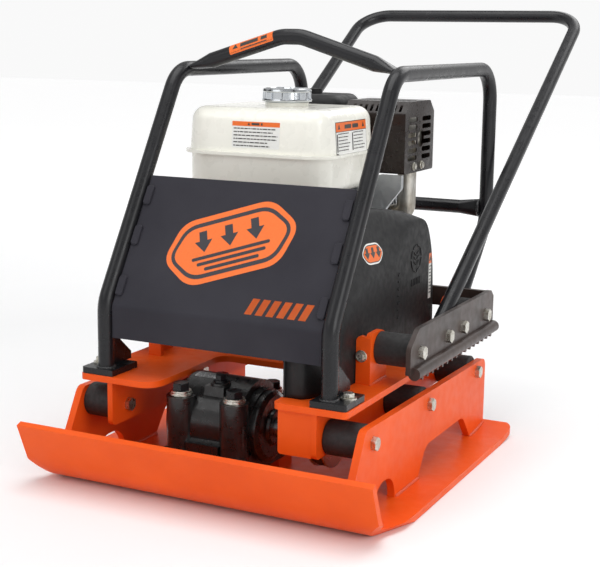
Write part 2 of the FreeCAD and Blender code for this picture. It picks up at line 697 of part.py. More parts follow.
def hoop(label, side):
    x = side * size.hoop_x
    points = [Vector(x, y, z) for y, z in (
        (size.hoop_foot_y, size.hoop_foot_z), (size.hoop_foot_y, size.hoop_knee_z),
        (size.hoop_front_y, size.hoop_top_z), (size.hoop_rear_y, size.hoop_top_z),
        (size.hoop_rear_y, size.hoop_hip_z), (size.hoop_heel_y, size.hoop_heel_z),
        (size.hoop_heel_y, size.hoop_foot_z))]
    bend = size.hoop_bend
    return keep(label, solid(label, bent_tube(points, (bend, bend, bend, bend, 40))))


def hoop_feet():
    """A pad under each leg; the front pads have a triangular gusset behind the leg."""
    feet = []
    for side in (1, -1):
        hole_x, hole_y = FRONT_FOOT_BOLT
        front = rounded([(side * 172, -size.deck_front + 2), (side * 230, -size.deck_front + 2, 4),
                         (side * 230, -150, 4), (side * 172, -150)])
        pad = plate(f"front_foot_{side + 1}", "XY_Plane", [front, circle(side * hole_x, hole_y, 5.4)],
                    "foot_gauge", (0, 0, "deck_top"))
        web = rounded([(-188, 0), (-136, 0), (-136, 12), (-188, 56)])
        gusset = plate(f"front_gusset_{side + 1}", "YZ_Plane", [web], 6, (side * size.hoop_x - 3, 0, 188))
        feet.append(fuse(f"front_foot_whole_{side + 1}", [pad, gusset]))
        hole_x, hole_y = REAR_FOOT_BOLT
        rear = rounded([(side * 146, 314), (side * 212, 314), (side * 212, 350), (side * 146, 350)])
        feet.append(plate(f"rear_foot_{side + 1}", "XY_Plane", [rear, circle(side * hole_x, hole_y, 5.4)],
                          "foot_gauge", (0, 0, "deck_top")))
    return keep("hoop_feet", group("hoop_feet", feet))


def hoop_bolts():
    bolts = []
    for side in (1, -1):
        for row, (x, y) in enumerate((FRONT_FOOT_BOLT, REAR_FOOT_BOLT)):
            name = f"hoop_bolt_{side + 1}_{row}"
            start = (side * x, y, "deck_top + foot_gauge")
            bolts.append(hex_bolt(name, start, "z", 9, 7, 5, 26, washer=2.5, washer_radius=12))
    return keep("hoop_bolts", group("hoop_bolts", bolts))


def flattened_end(circle_at, flat_at, side):
    """The squashed end of a round bar, broad along side, where it is welded against another tube."""
    direction = flat_at - circle_at
    round_wire = Part.Wire(Part.Circle(circle_at, direction, size.tube_radius).toShape())
    oval = Part.Ellipse(Vector(), 17, 5)
    oval_wire = Part.Wire(oval.toShape())
    upright = direction.cross(side).normalize()
    turn = Rotation(side, upright, direction, "XYZ")
    oval_wire.Placement = Placement(flat_at, turn)
    return Part.makeLoft([round_wire, oval_wire], True)


def barred(label, ends, bends, radii, flat, side):
    """A bent round bar whose two ends are flattened over that length."""
    route = [ends[0]] + bends + [ends[1]]
    near = ends[0] + (route[1] - ends[0]).normalize() * flat
    far = ends[1] + (route[-2] - ends[1]).normalize() * flat
    shape = swept([near] + bends + [far], radii, size.tube_radius)
    for start, end in ((near, ends[0]), (far, ends[1])):
        shape = shape.fuse(flattened_end(start, end, side))
    return keep(label, solid(label, shape.removeSplitter()))


def lifting_bar():
    y = size.lift_y
    bends = [Vector(side * size.lift_half, y, size.lift_z) for side in (-1, 1)]
    ends = [Vector(side * (size.hoop_x - size.tube_radius), y, size.hoop_top_z + 4) for side in (-1, 1)]
    return barred("lifting_bar", ends, bends, (60, 60), 36, Vector(0, 1, 0))


def cage_crossbar():
    ends = [Vector(side * (size.hoop_x - size.tube_radius), size.hoop_rear_y, size.cross_z) for side in (-1, 1)]
    return barred("cage_crossbar", ends, [], (), 38, Vector(0, 0, 1))


def shield():
    """A folded sheet between the front legs: a sloping panel over an upright skirt."""
    slope = (size.hoop_front_y - size.hoop_foot_y) / (size.hoop_top_z - size.hoop_knee_z)
    fold = size.hoop_foot_y - 2
    top = fold + (size.shield_top_z - size.shield_fold_z) * slope
    gauge = size.shield_gauge
    loop = rounded([(fold, size.shield_bottom_z), (fold + gauge, size.shield_bottom_z),
                    (fold + gauge, size.shield_fold_z, 12), (top + gauge * 1.17, size.shield_top_z),
                    (top, size.shield_top_z), (fold, size.shield_fold_z, 15)])
    return keep("shield", plate("shield", "YZ_Plane", [loop], "2 * shield_half", ("-shield_half", 0, 0)))


# ---------------------------------------------------------------- handle mount and handle

def bracket_loop():
    return rounded([
        (-size.bracket_front, size.bracket_bottom), (size.bracket_rear, size.bracket_bottom),
        (size.bracket_rear, size.bracket_top - 12, 4), (size.bracket_rear - 14, size.bracket_top, 8),
        (-size.bracket_front + 34, size.bracket_top, 16), (-size.bracket_front, size.bracket_top - 26, 14),
    ])


def bracket(label, face, rail_x, bump_x):
    """Handle bracket: a thick flat bar with a round toothed rail along its lower edge."""
    holes = [circle(y, size.tab_height, 6.3) for y in (size.tab_a, size.tab_b)]
    holes.append(circle(size.pivot_y, size.pivot_z, size.pivot_radius + 0.05))
    holes.append(circle(size.stop_y, size.stop_z, size.pivot_radius + 0.05))
    bar = plate(label + "_bar", "YZ_Plane", [bracket_loop()] + holes, "bracket_gauge", (face, 0, 0))
    length = size.bracket_front + size.bracket_rear
    rail = rod(label + "_rail", "rail_radius", length - 11, (rail_x, "11 - bracket_front", "bracket_bottom"), "y")
    pitch = 22
    bumps = []
    for index in range(int(length / pitch) - 1):
        y = -size.bracket_front + 36 + index * pitch
        bumps.append(rod(f"{label}_bump_{index}", "rail_bump", 15, (bump_x, y, "bracket_bottom - rail_radius + 1")))
    return keep(label, fuse(label, [bar, rail] + bumps))


def bracket_crossbar():
    return keep("bracket_crossbar", block("bracket_crossbar", ("2 * bracket_inner", 10, 34),
                                          ("-bracket_inner", "bracket_rear - 10", 232)))


def bracket_bolts():
    bolts = []
    arm = size.arm_x
    places = (("tab_a", "tab_height", 8), ("tab_b", "tab_height", 8), ("pivot_y", "pivot_z", 48),
              ("stop_y", "stop_z", 42))
    for row, (y, z, grip) in enumerate(places):
        outer = size.bracket_inner + size.bracket_gauge
        for side in (1, -1):
            head_start = outer if side > 0 else -outer - 8
            stem_start = outer - grip if side > 0 else -outer - 1
            pieces = [hexagon(f"bracket_bolt_{side + 1}_{row}_head", 11, 8, (head_start, y, z)),
                      rod(f"bracket_bolt_{side + 1}_{row}_stem", "pivot_radius", grip + 1, (stem_start, y, z))]
            if grip > 8:
                nut = outer - grip if side > 0 else grip - outer - 9
                pieces.append(hexagon(f"bracket_bolt_{side + 1}_{row}_nut", 11, 9, (nut, y, z)))
            bolts.append(fuse(f"bracket_bolt_{side + 1}_{row}", pieces))
    for side in (1, -1):
        face = arm + 11.3 if side > 0 else -size.bracket_inner + 0.3
        ring = [(0, 6.05), (0, 12), (3.4, 12), (3.4, 6.05)]
        bolts.append(turned(f"pivot_washer_{side + 1}", ring, (face, "pivot_y", "pivot_z")))
    return keep("bracket_bolts", group("bracket_bolts", bolts))


def stop_bumpers():
    """Rubber rollers that the lowered handle arms rest on."""
    run = Vector(size.handle_y - size.pivot_y, size.handle_z - size.pivot_z, 0)
    offset = Vector(size.stop_y - size.pivot_y, size.stop_z - size.pivot_z, 0)
    distance = abs(run.cross(offset).z) / run.Length
    radius = distance - size.tube_radius - 0.3
    length = 22
    ring = [(0, 6.1), (0, radius - 2), (2, radius), (length - 2, radius), (length, radius - 2), (length, 6.1)]
    pieces = [turned("stop_bumper_right", ring, ("bracket_inner - 23", "stop_y", "stop_z")),
              turned("stop_bumper_left", ring, ("1 - bracket_inner", "stop_y", "stop_z"))]
    return keep("stop_bumpers", group("stop_bumpers", pieces))


def handle():
    pivot = Vector(0, size.pivot_y, size.pivot_z)
    corner = Vector(0, size.handle_y, size.handle_z)
    start = pivot + (corner - pivot).normalize() * 12
    right = Vector(size.arm_x, 0, 0)
    points = [start + right, corner + right, corner - right, start - right]
    shape = bent_tube(points, (size.handle_bend, size.handle_bend))
    for side in (1, -1):
        eye_start = Vector(side * size.arm_x - 11, size.pivot_y, size.pivot_z)
        eye = Part.makeCylinder(size.eye_radius, 22, eye_start, Vector(1, 0, 0))
        bore = Part.makeCylinder(size.pivot_radius + 0.05, 24, eye_start - Vector(1, 0, 0), Vector(1, 0, 0))
        shape = shape.fuse(eye).cut(bore)
    return keep("handle", solid("handle", shape))


# ---------------------------------------------------------------- engine

CYLINDER_TILT = 25
TILT = Rotation(Vector(1, 0, 0), CYLINDER_TILT)
CRANK = Vector(0, size.crank_y, size.crank_z)
BORE_X = 8


def tilted(x, along, across):
    """A point in the leaning cylinder's own axes, measured from the crankshaft."""
    return CRANK + TILT.multVec(Vector(x, along, across))


def tilted_slab(name, half_x, half_across, radius, along, length):
    """A slab square to the cylinder, with rounded corners."""
    loop = rounded([(-half_x, -half_across, radius), (half_x, -half_across, radius),
                    (half_x, half_across, radius), (-half_x, half_across, radius)])
    slab = plate(name, "XZ_Plane", [loop], length, (0, 0, 0))
    place(slab, tilted(BORE_X, along + length, 0), TILT)
    return slab


def engine_block():
    case = rounded([(84, 196, 8), (222, 196, 8), (238, 258, 18), (238, 392, 10), (112, 398, 30),
                    (66, 352, 40), (66, 258, 18)])
    crankcase = plate("crankcase", "YZ_Plane", [case], 160, (-72, 0, 0))
    foot_outline = rounded([(-85, 56, 12), (96, 56, 12), (96, 250, 12), (-85, 250, 12)])
    bolt_holes = [circle(x, y, 5.4) for x in ENGINE_BOLT_X for y in ENGINE_BOLT_Y]
    foot = plate("engine_foot", "XY_Plane", [foot_outline] + bolt_holes, 9, (0, 0, "engine_base"))
    tongue = block("engine_tongue", (122, 60, 9), (-70, 2, "engine_base"))
    riser = block("engine_riser", (160, 138, "engine_base - deck_top"), (-72, 84, "deck_top"))
    step = block("engine_step", (98, 66, "engine_base - deck_top"), (-54, 18, "deck_top"))
    core = tilted_slab("barrel_core", 46, 46, 18, 60, 129.5)
    fins = [tilted_slab(f"barrel_fin_{index}", 58, 58, 10, 92 + index * 10.5, 3.6) for index in range(9)]
    side_cover = rod("pto_cover", 58, 6, (88, "crank_y", "crank_z"))
    nose = rod("pto_nose", 30, 22, (88, "crank_y", "crank_z"))
    whole = fuse("engine_castings", [crankcase, foot, tongue, riser, step, core, side_cover, nose] + fins)
    sump = rod("crank_chamber", 56, 140, (-62, "crank_y", "crank_z"))
    shaft_hole = rod("crank_hole", 17.55, 200, (-80, "crank_y", "crank_z"))
    bore = rod("cylinder_bore", 38, 140, (0, 0, 0), "y")
    place(bore, tilted(BORE_X, 50, 0), TILT.multiply(TURN["y"]))
    return keep("engine_block", cut("engine_block", whole, [sump, shaft_hole, bore]))


def cylinder_head():
    head = tilted_slab("head_core", 50, 52, 12, 190, 46)
    fins = [tilted_slab(f"head_fin_{index}", 58, 58, 10, 194 + index * 11, 3.6) for index in range(4)]
    rocker = tilted_slab("rocker_cover", 42, 40, 16, 236, 34)
    plug = rod("plug_body", 9, 60, (0, 0, 0), "y")
    place(plug, tilted(-22, 262, 20), Rotation(Vector(1, 0, 0), CYLINDER_TILT + 20).multiply(TURN["y"]))
    return keep("cylinder_head", fuse("cylinder_head", [head, rocker, plug] + fins))


def shroud_loop(inset):
    return rounded([(38 + inset, 205 + inset, 60), (268 - inset, 205 + inset, 60),
                    (286 - inset, 415 - inset, 45), (38 + inset, 415 - inset, 60)])


LEVERS = {
    # label: (outer face along X, pivot y, pivot z, tip y, tip z)
    "throttle_lever": (-157, 262, 388, 300, 424),
    "ignition_switch": (-158, 246, 238, 246, 256),
    "choke_lever": (-114, 336, 428, 374, 436),
    "fuel_valve_lever": (-114, 322, 402, 352, 388),
}
LEVER_GAUGE = 4
PIN_RADIUS = 3


def pin_bore(label, depth):
    face, y, z, tip_y, tip_z = LEVERS[label]
    return rod(label + "_bore", PIN_RADIUS + 0.08, depth, (face + LEVER_GAUGE - 1, y, z))


def stadium(first, second, radius):
    """A slot-shaped outline around two points."""
    run = (second - first).normalize()
    side = Vector(-run.y, run.x, 0) * radius
    return [
        Part.LineSegment(first + side, second + side),
        Part.Arc(second + side, second + run * radius, second - side),
        Part.LineSegment(second - side, first - side),
        Part.Arc(first - side, first - run * radius, first + side),
    ]


def lever(label, radius):
    face, y, z, tip_y, tip_z = LEVERS[label]
    loop = stadium(Vector(y, z, 0), Vector(tip_y, tip_z, 0), radius)
    blade = plate(label + "_blade", "YZ_Plane", [loop], LEVER_GAUGE, (face, 0, 0))
    pin = rod(label + "_pin", PIN_RADIUS, LEVER_GAUGE + 8, (face, y, z))
    knob = rod(label + "_knob", radius * 0.8, 9, (face - 8, tip_y, tip_z))
    return keep(label, fuse(label, [blade, pin, knob]))


def fan_shroud():
    outer = plate("shroud_outer", "YZ_Plane", [shroud_loop(0)], 78, (-150, 0, 0))
    hollow = plate("shroud_hollow", "YZ_Plane", [shroud_loop(3)], 80, (-147, 0, 0))
    inlet = rod("shroud_inlet", 70, 20, (-160, "crank_y", "crank_z"))
    rivets = [pin_bore("throttle_lever", 12), pin_bore("ignition_switch", 12)]
    return keep("fan_shroud", cut("fan_shroud", outer, [hollow, inlet] + rivets))


def recoil_housing():
    """The cup over the pull starter, with a ring of cooling slots."""
    wall = [(0, 0), (0, 58), (8, 74, 6), (14, 88, 4), (35.7, 88), (35.7, 85.5), (16, 85.5, 4), (10.5, 73, 6),
            (3, 56), (3, 0)]
    cup = turned("recoil_cup", wall, (-186, "crank_y", "crank_z"))
    slots = []
    count = 12
    for index in range(count):
        angle = 360 * index / count
        turn = Rotation(Vector(1, 0, 0), angle)
        corner = CRANK + turn.multVec(Vector(-190, 34, -3))
        slots.append(block(f"recoil_slot_{index}", (14, 22, 6), corner, turn))
    return keep("recoil_housing", cut("recoil_housing", cup, slots))


def recoil_grip():
    loop = stadium(Vector(61, 361, 0), Vector(103, 397, 0), 9.5)
    return keep("recoil_grip", plate("recoil_grip", "YZ_Plane", [loop], 19, (-172, 0, 0)))


def crankshaft():
    steps = [(-146, 0), (-146, 12), (-76, 12), (-76, 17.5), (-40, 17.5), (-40, 50), (-20, 50), (-20, 20),
             (36, 20), (36, 50), (56, 50), (56, 17.5), (112, 17.5), (112, size.crank_radius),
             (168, size.crank_radius), (168, 0)]
    keep("crankshaft", turned("crankshaft", steps, (0, "crank_y", "crank_z")))
    rim = [(-142, 12.03), (-142, 60), (-134, 88), (-96, 88), (-96, 80), (-126, 78), (-132, 40), (-100, 26),
           (-100, 12.03)]
    keep("flywheel", turned("flywheel", rim, (0, "crank_y", "crank_z")))


def clutch_drum():
    rim = size.drum_radius + 3.5
    root = size.drum_radius - 9
    mouth = size.belt_width / 2 + 0.8
    bell = [(-25, 52), (-25, rim), (-mouth, rim), (-mouth + 3, root), (mouth - 3, root), (mouth, rim),
            (13, rim), (13, size.crank_radius + 0.05), (7, size.crank_radius + 0.05), (7, 52)]
    keep("clutch_drum", turned("clutch_drum", bell, ("belt_x", "crank_y", "crank_z")))
    shoe = [(-27, size.crank_radius + 0.03), (-27, 30), (-20, 30), (-20, 49), (3, 49), (3, size.crank_radius + 0.03)]
    keep("clutch_shoes", turned("clutch_shoes", shoe, ("belt_x", "crank_y", "crank_z")))


GUARD_OUTLINES = (
    # (inner y, inner z, outer y, outer z) from the front foot over the top to the rear foot
    (-192, 178, -128, 178), (-192, 240, -124, 244), (-192, 280, -104, 270), (-166, 320, -72, 304),
    (-140, 361, -34, 327), (-90, 438, -4, 334), (8, 441, 60, 334), (80, 431, 98, 352),
    (140, 423, 146, 384), (200, 414, 196, 404), (236, 395, 228, 392), (264, 345, 254, 350),
    (272, 249, 268, 249), (276, 178, 272, 178),
)


def guard_points(step, inset):
    """Side outline of the belt guard: step 0 is the widest, step 1 the set-back outer face."""
    outline = [Vector(0, a + (c - a) * step, b + (d - b) * step) for a, b, c, d in GUARD_OUTLINES]
    moved = []
    for index, corner in enumerate(outline):
        before = (corner - outline[index - 1]).normalize()
        after = (outline[(index + 1) % len(outline)] - corner).normalize()
        inward = Vector(0, before.z + after.z, -before.y - after.y).normalize()
        moved.append(corner + inward * (inset / Vector(0, after.z, -after.y).dot(inward)))
    return moved


def guard_solid(inset):
    inner = size.guard_inner
    middle = inner + 30
    outer = size.guard_outer - inset

    def ring(x, step):
        outline = [point + Vector(x, 0, 0) for point in guard_points(step, inset)]
        return Part.makePolygon(outline + outline[:1])

    straight = Part.makeLoft([ring(inner, 0), ring(middle, 0)], True, True)
    tapered = Part.makeLoft([ring(middle, 0), ring(outer, 1)], True, True)
    return straight.fuse(tapered).removeSplitter()


def belt_guard():
    wall = size.guard_wall
    shell = guard_solid(0).cut(guard_solid(wall))
    floor = size.deck_top
    inner = size.guard_inner
    mouth = Part.makeBox(28, 440, 2 * wall, Vector(inner, -184, floor - 1))
    outer_mouth = Part.makeBox(22, 350, 2 * wall, Vector(inner + 28, -112, floor - 1))
    return keep("belt_guard", solid("belt_guard", shell.cut(mouth).cut(outer_mouth)))


def guard_plate():
    loop = [Vector(point.y, point.z, 0) for point in guard_points(0, 0)]
    edges = rounded([(point.x, point.y) for point in loop])
    hole = circle(size.crank_y, size.crank_z, 34)
    return keep("guard_plate", plate("guard_plate", "YZ_Plane", [edges, hole], 3, ("guard_inner - 3.3", 0, 0)))


def tank_loop(inset, radius):
    half = size.tank_half - inset
    x = size.tank_x
    front = size.tank_front + inset
    rear = size.tank_rear - inset
    return rounded([(x - half, front, radius), (x + half, front, radius), (x + half, rear, radius),
                    (x - half, rear, radius)])


def softened(name, base, level, radius):
    """Rounds every edge of the object that lies at this height."""
    thing = doc.addObject("Part::Fillet", name)
    thing.Base = base
    doc.recompute()
    chosen = []
    for index, edge in enumerate(base.Shape.Edges, start=1):
        if all(abs(vertex.Z - level) < 0.01 for vertex in edge.Vertexes):
            chosen.append((index, radius, radius))
    thing.Edges = chosen
    return thing


def tank_half_shell(name, inset, low, high, level, radius, taper):
    half = plate(name, "XY_Plane", [tank_loop(inset, 38 - inset / 2)], high - low, (0, 0, low))
    half.Tip.TaperAngle = taper
    if radius == 0:
        return half
    return softened(name + "_soft", half, level, radius)


def fuel_tank():
    seam = size.tank_seam
    top = size.tank_top
    low = size.tank_bottom
    wall = 3
    upper = tank_half_shell("tank_upper", 6, seam, top, top, 24, -4)
    lower = tank_half_shell("tank_lower", 8, low, seam + 1, low, 14, 0)
    lip = size.tank_x - size.tank_half - 10
    right = size.tank_x + size.tank_half
    rim = rounded([(lip, size.tank_front, 60), (right, size.tank_front, 42), (right, size.tank_rear, 42),
                   (lip, size.tank_rear, 60)])
    flange = plate("tank_flange", "XY_Plane", [rim], 5, (0, 0, "tank_seam - 3"))
    collar = rod("tank_collar", 37, 9, ("cap_x", "cap_y", "tank_top - 3"), "z")
    whole = fuse("tank_outside", [upper, lower, flange, collar])
    room_above = tank_half_shell("tank_room_upper", 6 + wall, seam - 1, top - wall, top - wall, 21, -4)
    room_below = tank_half_shell("tank_room_lower", 8 + wall, low + wall, seam, low + wall, 11, 0)
    neck = rod("tank_neck", 28, 30, ("cap_x", "cap_y", "tank_top - 12"), "z")
    return keep("fuel_tank", cut("fuel_tank", whole, [room_above, room_below, neck]))


def fuel_cap():
    radius = size.cap_radius
    tall = size.cap_height
    profile = [(0, 0), (0, 27.5), (11, 27.5), (11, radius - 2, 2), (13, radius, 2), (11 + tall - 4, radius - 2, 4),
               (11 + tall, radius - 8, 3), (11 + tall, 0)]
    body = turned("cap_body", profile, ("cap_x", "cap_y", "tank_top - 4"), "z")
    notches = []
    count = 8
    for index in range(count):
        angle = 2 * math.pi * index / count
        x = size.cap_x + (radius + 5.5) * math.cos(angle)
        y = size.cap_y + (radius + 5.5) * math.sin(angle)
        notches.append(rod(f"cap_notch_{index}", 9, tall, (x, y, "tank_top + 12"), "z"))
    return keep("fuel_cap", cut("fuel_cap", body, notches))


def muffler():
    loop = rounded([(262, 486, 24), (358, 486, 24), (358, 566, 24), (262, 566, 24)])
    can = plate("muffler_can", "YZ_Plane", [loop], 92, (18, 0, 0))
    outlet = rod("muffler_outlet", 13, 10, (106, 322, 530))
    return keep("muffler", fuse("muffler", [can, outlet]))


def guard_box_loop(inset):
    front = size.muffler_front + inset
    rear = size.muffler_rear - inset
    low = size.muffler_bottom
    top = size.muffler_top - inset
    drop = 20
    return rounded([(front, low, 4), (rear, low, 4), (rear, top - drop, 4), (rear - drop, top, 4),
                    (front + drop, top, 4), (front, top - drop, 4)])


def muffler_guard():
    """A pressed box with two columns of slots on the outer face and a comb of vents on top."""
    left = size.muffler_left
    right = size.muffler_right
    shell = plate("muffler_shell", "YZ_Plane", [guard_box_loop(0)], right - left, ("muffler_left", 0, 0))
    room = plate("muffler_room", "YZ_Plane", [guard_box_loop(2)], right - left - 4, ("muffler_left + 2", 0, 0))
    under = block("muffler_under", (right - left - 4, 134, 6), ("muffler_left + 2", "muffler_front + 2", 469))
    slots = []
    middle = (size.muffler_front + size.muffler_rear) / 2
    for column in (-1, 1):
        for row in range(6):
            y = middle + column * 33
            z = 497 + row * 13.5
            slot = stadium(Vector(y - 17, z, 0), Vector(y + 17, z, 0), 4.2)
            slots.append(plate(f"muffler_slot_{column + 1}_{row}", "YZ_Plane", [slot], 12, (right - 6, 0, 0)))
    slots.append(rod("muffler_port", 15, 12, (right - 6, middle + 6, 530)))
    for index in range(9):
        x = left + 14 + index * 11
        slots.append(block(f"muffler_vent_{index}", (5, 16, 26), (x, size.muffler_front - 2, 579)))
        slots.append(block(f"muffler_gill_{index}", (5, 40, 12), (x, size.muffler_front + 40, 588)))
    return keep("muffler_guard", cut("muffler_guard", shell, [room, under] + slots))


def exhaust_elbow():
    points = [Vector(93, 335, 485.7), Vector(93, 335, 388), Vector(66.4, 335, 388)]
    pipe = swept(points, (20,), 17)
    flange = Part.makeBox(6, 44, 34, Vector(66.4, 313, 371))
    return keep("exhaust_elbow", solid("exhaust_elbow", pipe.fuse(flange)))


def muffler_bracket():
    loop = rounded([(67, 392.6), (90, 392.6), (98, 412, 10), (126, 448, 8), (126, 470.7), (82, 470.7, 6), (72, 430, 10)])
    return keep("muffler_bracket", plate("muffler_bracket", "XZ_Plane", [loop], 10, (0, 236, 0)))


def air_cleaner():
    loop = rounded([(-150, 246, 30), (-12, 246, 30), (-12, 374, 30), (-150, 374, 30)])
    cover = softened("cleaner_soft", plate("cleaner_cover", "XY_Plane", [loop], 115, (0, 0, 488)), 603, 18)
    skirt = rounded([(-146, 250, 28), (-16, 250, 28), (-16, 370, 28), (-146, 370, 28)])
    base = plate("cleaner_base", "XY_Plane", [skirt], 14, (0, 0, 475))
    knob = rod("cleaner_knob", 12, 10, (-81, 310, 602), "z")
    return keep("air_cleaner", fuse("air_cleaner", [cover, base, knob]))


def carburettor():
    throat = turned("carb_throat", [(0, 0), (0, 25, 3), (20, 25, 3), (24, 18), (44, 18), (48, 28), (57.5, 28),
                                    (57.5, 0)], (-108, 330, 415))
    bowl = rod("carb_bowl", 19, 42, (-88, 330, 368), "z")
    horn = rod("carb_horn", 20, 61, (-88, 330, 414), "z")
    whole = fuse("carb_body", [throat, bowl, horn])
    bores = [pin_bore("choke_lever", 12), pin_bore("fuel_valve_lever", 12)]
    return keep("carburettor", cut("carburettor", whole, bores))


def engine_bolts():
    bolts = [hex_bolt(f"engine_bolt_{column}_{row}", (x, y, "engine_base + 9"), "z", 9, 7, 5, 34, washer=2)
             for column, x in enumerate(ENGINE_BOLT_X) for row, y in enumerate(ENGINE_BOLT_Y)]
    return keep("engine_bolts", group("engine_bolts", bolts))


# ---------------------------------------------------------------- the whole machine

def build():
    base_plate()
    side_plate("side_plate_right", "side_outer - side_gauge")
    side_plate("side_plate_left", "-side_outer")
    side_plate_bolts()
    deck_isolators()
    exciter_mount_bars()
    exciter_housing()
    exciter_caps()
    exciter_bearings()
    exciter_bolts()
    exciter_rotor()
    drive_belt()
    deck_plate()
    deck_web("deck_web_right", "web_outer - web_gauge")
    deck_web("deck_web_left", "-web_outer")
    deck_front_plate()
    deck_bolts()
    handle_tabs()
    handle_isolators()
    hoop("hoop_right", 1)
    hoop("hoop_left", -1)
    hoop_feet()
    hoop_bolts()
    lifting_bar()
    cage_crossbar()
    shield()
    bracket("bracket_right", "bracket_inner", "bracket_inner + rail_radius", "bracket_inner")
    bracket("bracket_left", "-bracket_inner - bracket_gauge", "-bracket_inner - rail_radius", "-bracket_inner - 15")
    bracket_crossbar()
    bracket_bolts()
    stop_bumpers()
    handle()
    engine_block()
    cylinder_head()
    fan_shroud()
    recoil_housing()
    recoil_grip()
    crankshaft()
    clutch_drum()
    belt_guard()
    guard_plate()
    fuel_tank()
    fuel_cap()
    muffler()
    muffler_guard()
    exhaust_elbow()
    muffler_bracket()
    air_cleaner()
    carburettor()
    lever("throttle_lever", 7)
    lever("ignition_switch", 9)
    lever("choke_lever", 5)
    lever("fuel_valve_lever", 5)
    engine_bolts()


def check_document():
    """Stops before anything is written if an object failed or a sub-part isn't sound."""
    failed = [thing.Name for thing in doc.Objects if {"Invalid", "Error"} & set(thing.State)]
    if failed:
        raise RuntimeError("failed objects: " + ", ".join(failed))
    unsound = [thing.Label for thing in nodes if thing.Shape.isNull() or not thing.Shape.isValid()]
    if unsound:
        raise RuntimeError("unsound sub-parts: " + ", ".join(unsound))


build()
doc.recompute()
check_document()
os.makedirs("parts", exist_ok=True)
for node in nodes:
    node.Shape.exportStep(os.path.join("parts", node.Label + ".step"))
print(len(nodes), "sub-parts written")
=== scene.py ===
import math
import random

import bmesh
import bpy
from mathutils import Matrix, Vector
from mathutils.bvhtree import BVHTree


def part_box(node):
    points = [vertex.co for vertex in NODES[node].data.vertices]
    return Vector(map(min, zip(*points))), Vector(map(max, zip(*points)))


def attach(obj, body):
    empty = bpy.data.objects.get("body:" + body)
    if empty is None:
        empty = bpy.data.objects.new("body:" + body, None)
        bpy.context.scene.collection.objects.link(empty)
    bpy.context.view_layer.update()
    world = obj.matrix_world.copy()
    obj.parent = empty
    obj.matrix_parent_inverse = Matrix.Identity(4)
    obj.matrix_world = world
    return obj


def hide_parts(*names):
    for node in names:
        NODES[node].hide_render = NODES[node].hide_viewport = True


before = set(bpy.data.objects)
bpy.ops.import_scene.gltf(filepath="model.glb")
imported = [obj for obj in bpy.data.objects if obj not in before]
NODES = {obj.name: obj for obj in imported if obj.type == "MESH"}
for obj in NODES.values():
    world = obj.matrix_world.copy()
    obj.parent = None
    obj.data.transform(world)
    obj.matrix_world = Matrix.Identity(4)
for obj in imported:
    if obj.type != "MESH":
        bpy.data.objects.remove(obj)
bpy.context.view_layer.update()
UP = Vector((0, 0, 1))
TUBE_RADIUS = 0.0127
WELD_CLEARANCE = 0.010


# ---------------------------------------------------------------- materials

def srgb(red, green, blue):
    """A colour given as 0 to 255 display values, as the linear colour that a shader takes."""
    def linear(value):
        value /= 255
        return value / 12.92 if value <= 0.04045 else ((value + 0.055) / 1.055) ** 2.4
    return (linear(red), linear(green), linear(blue), 1.0)


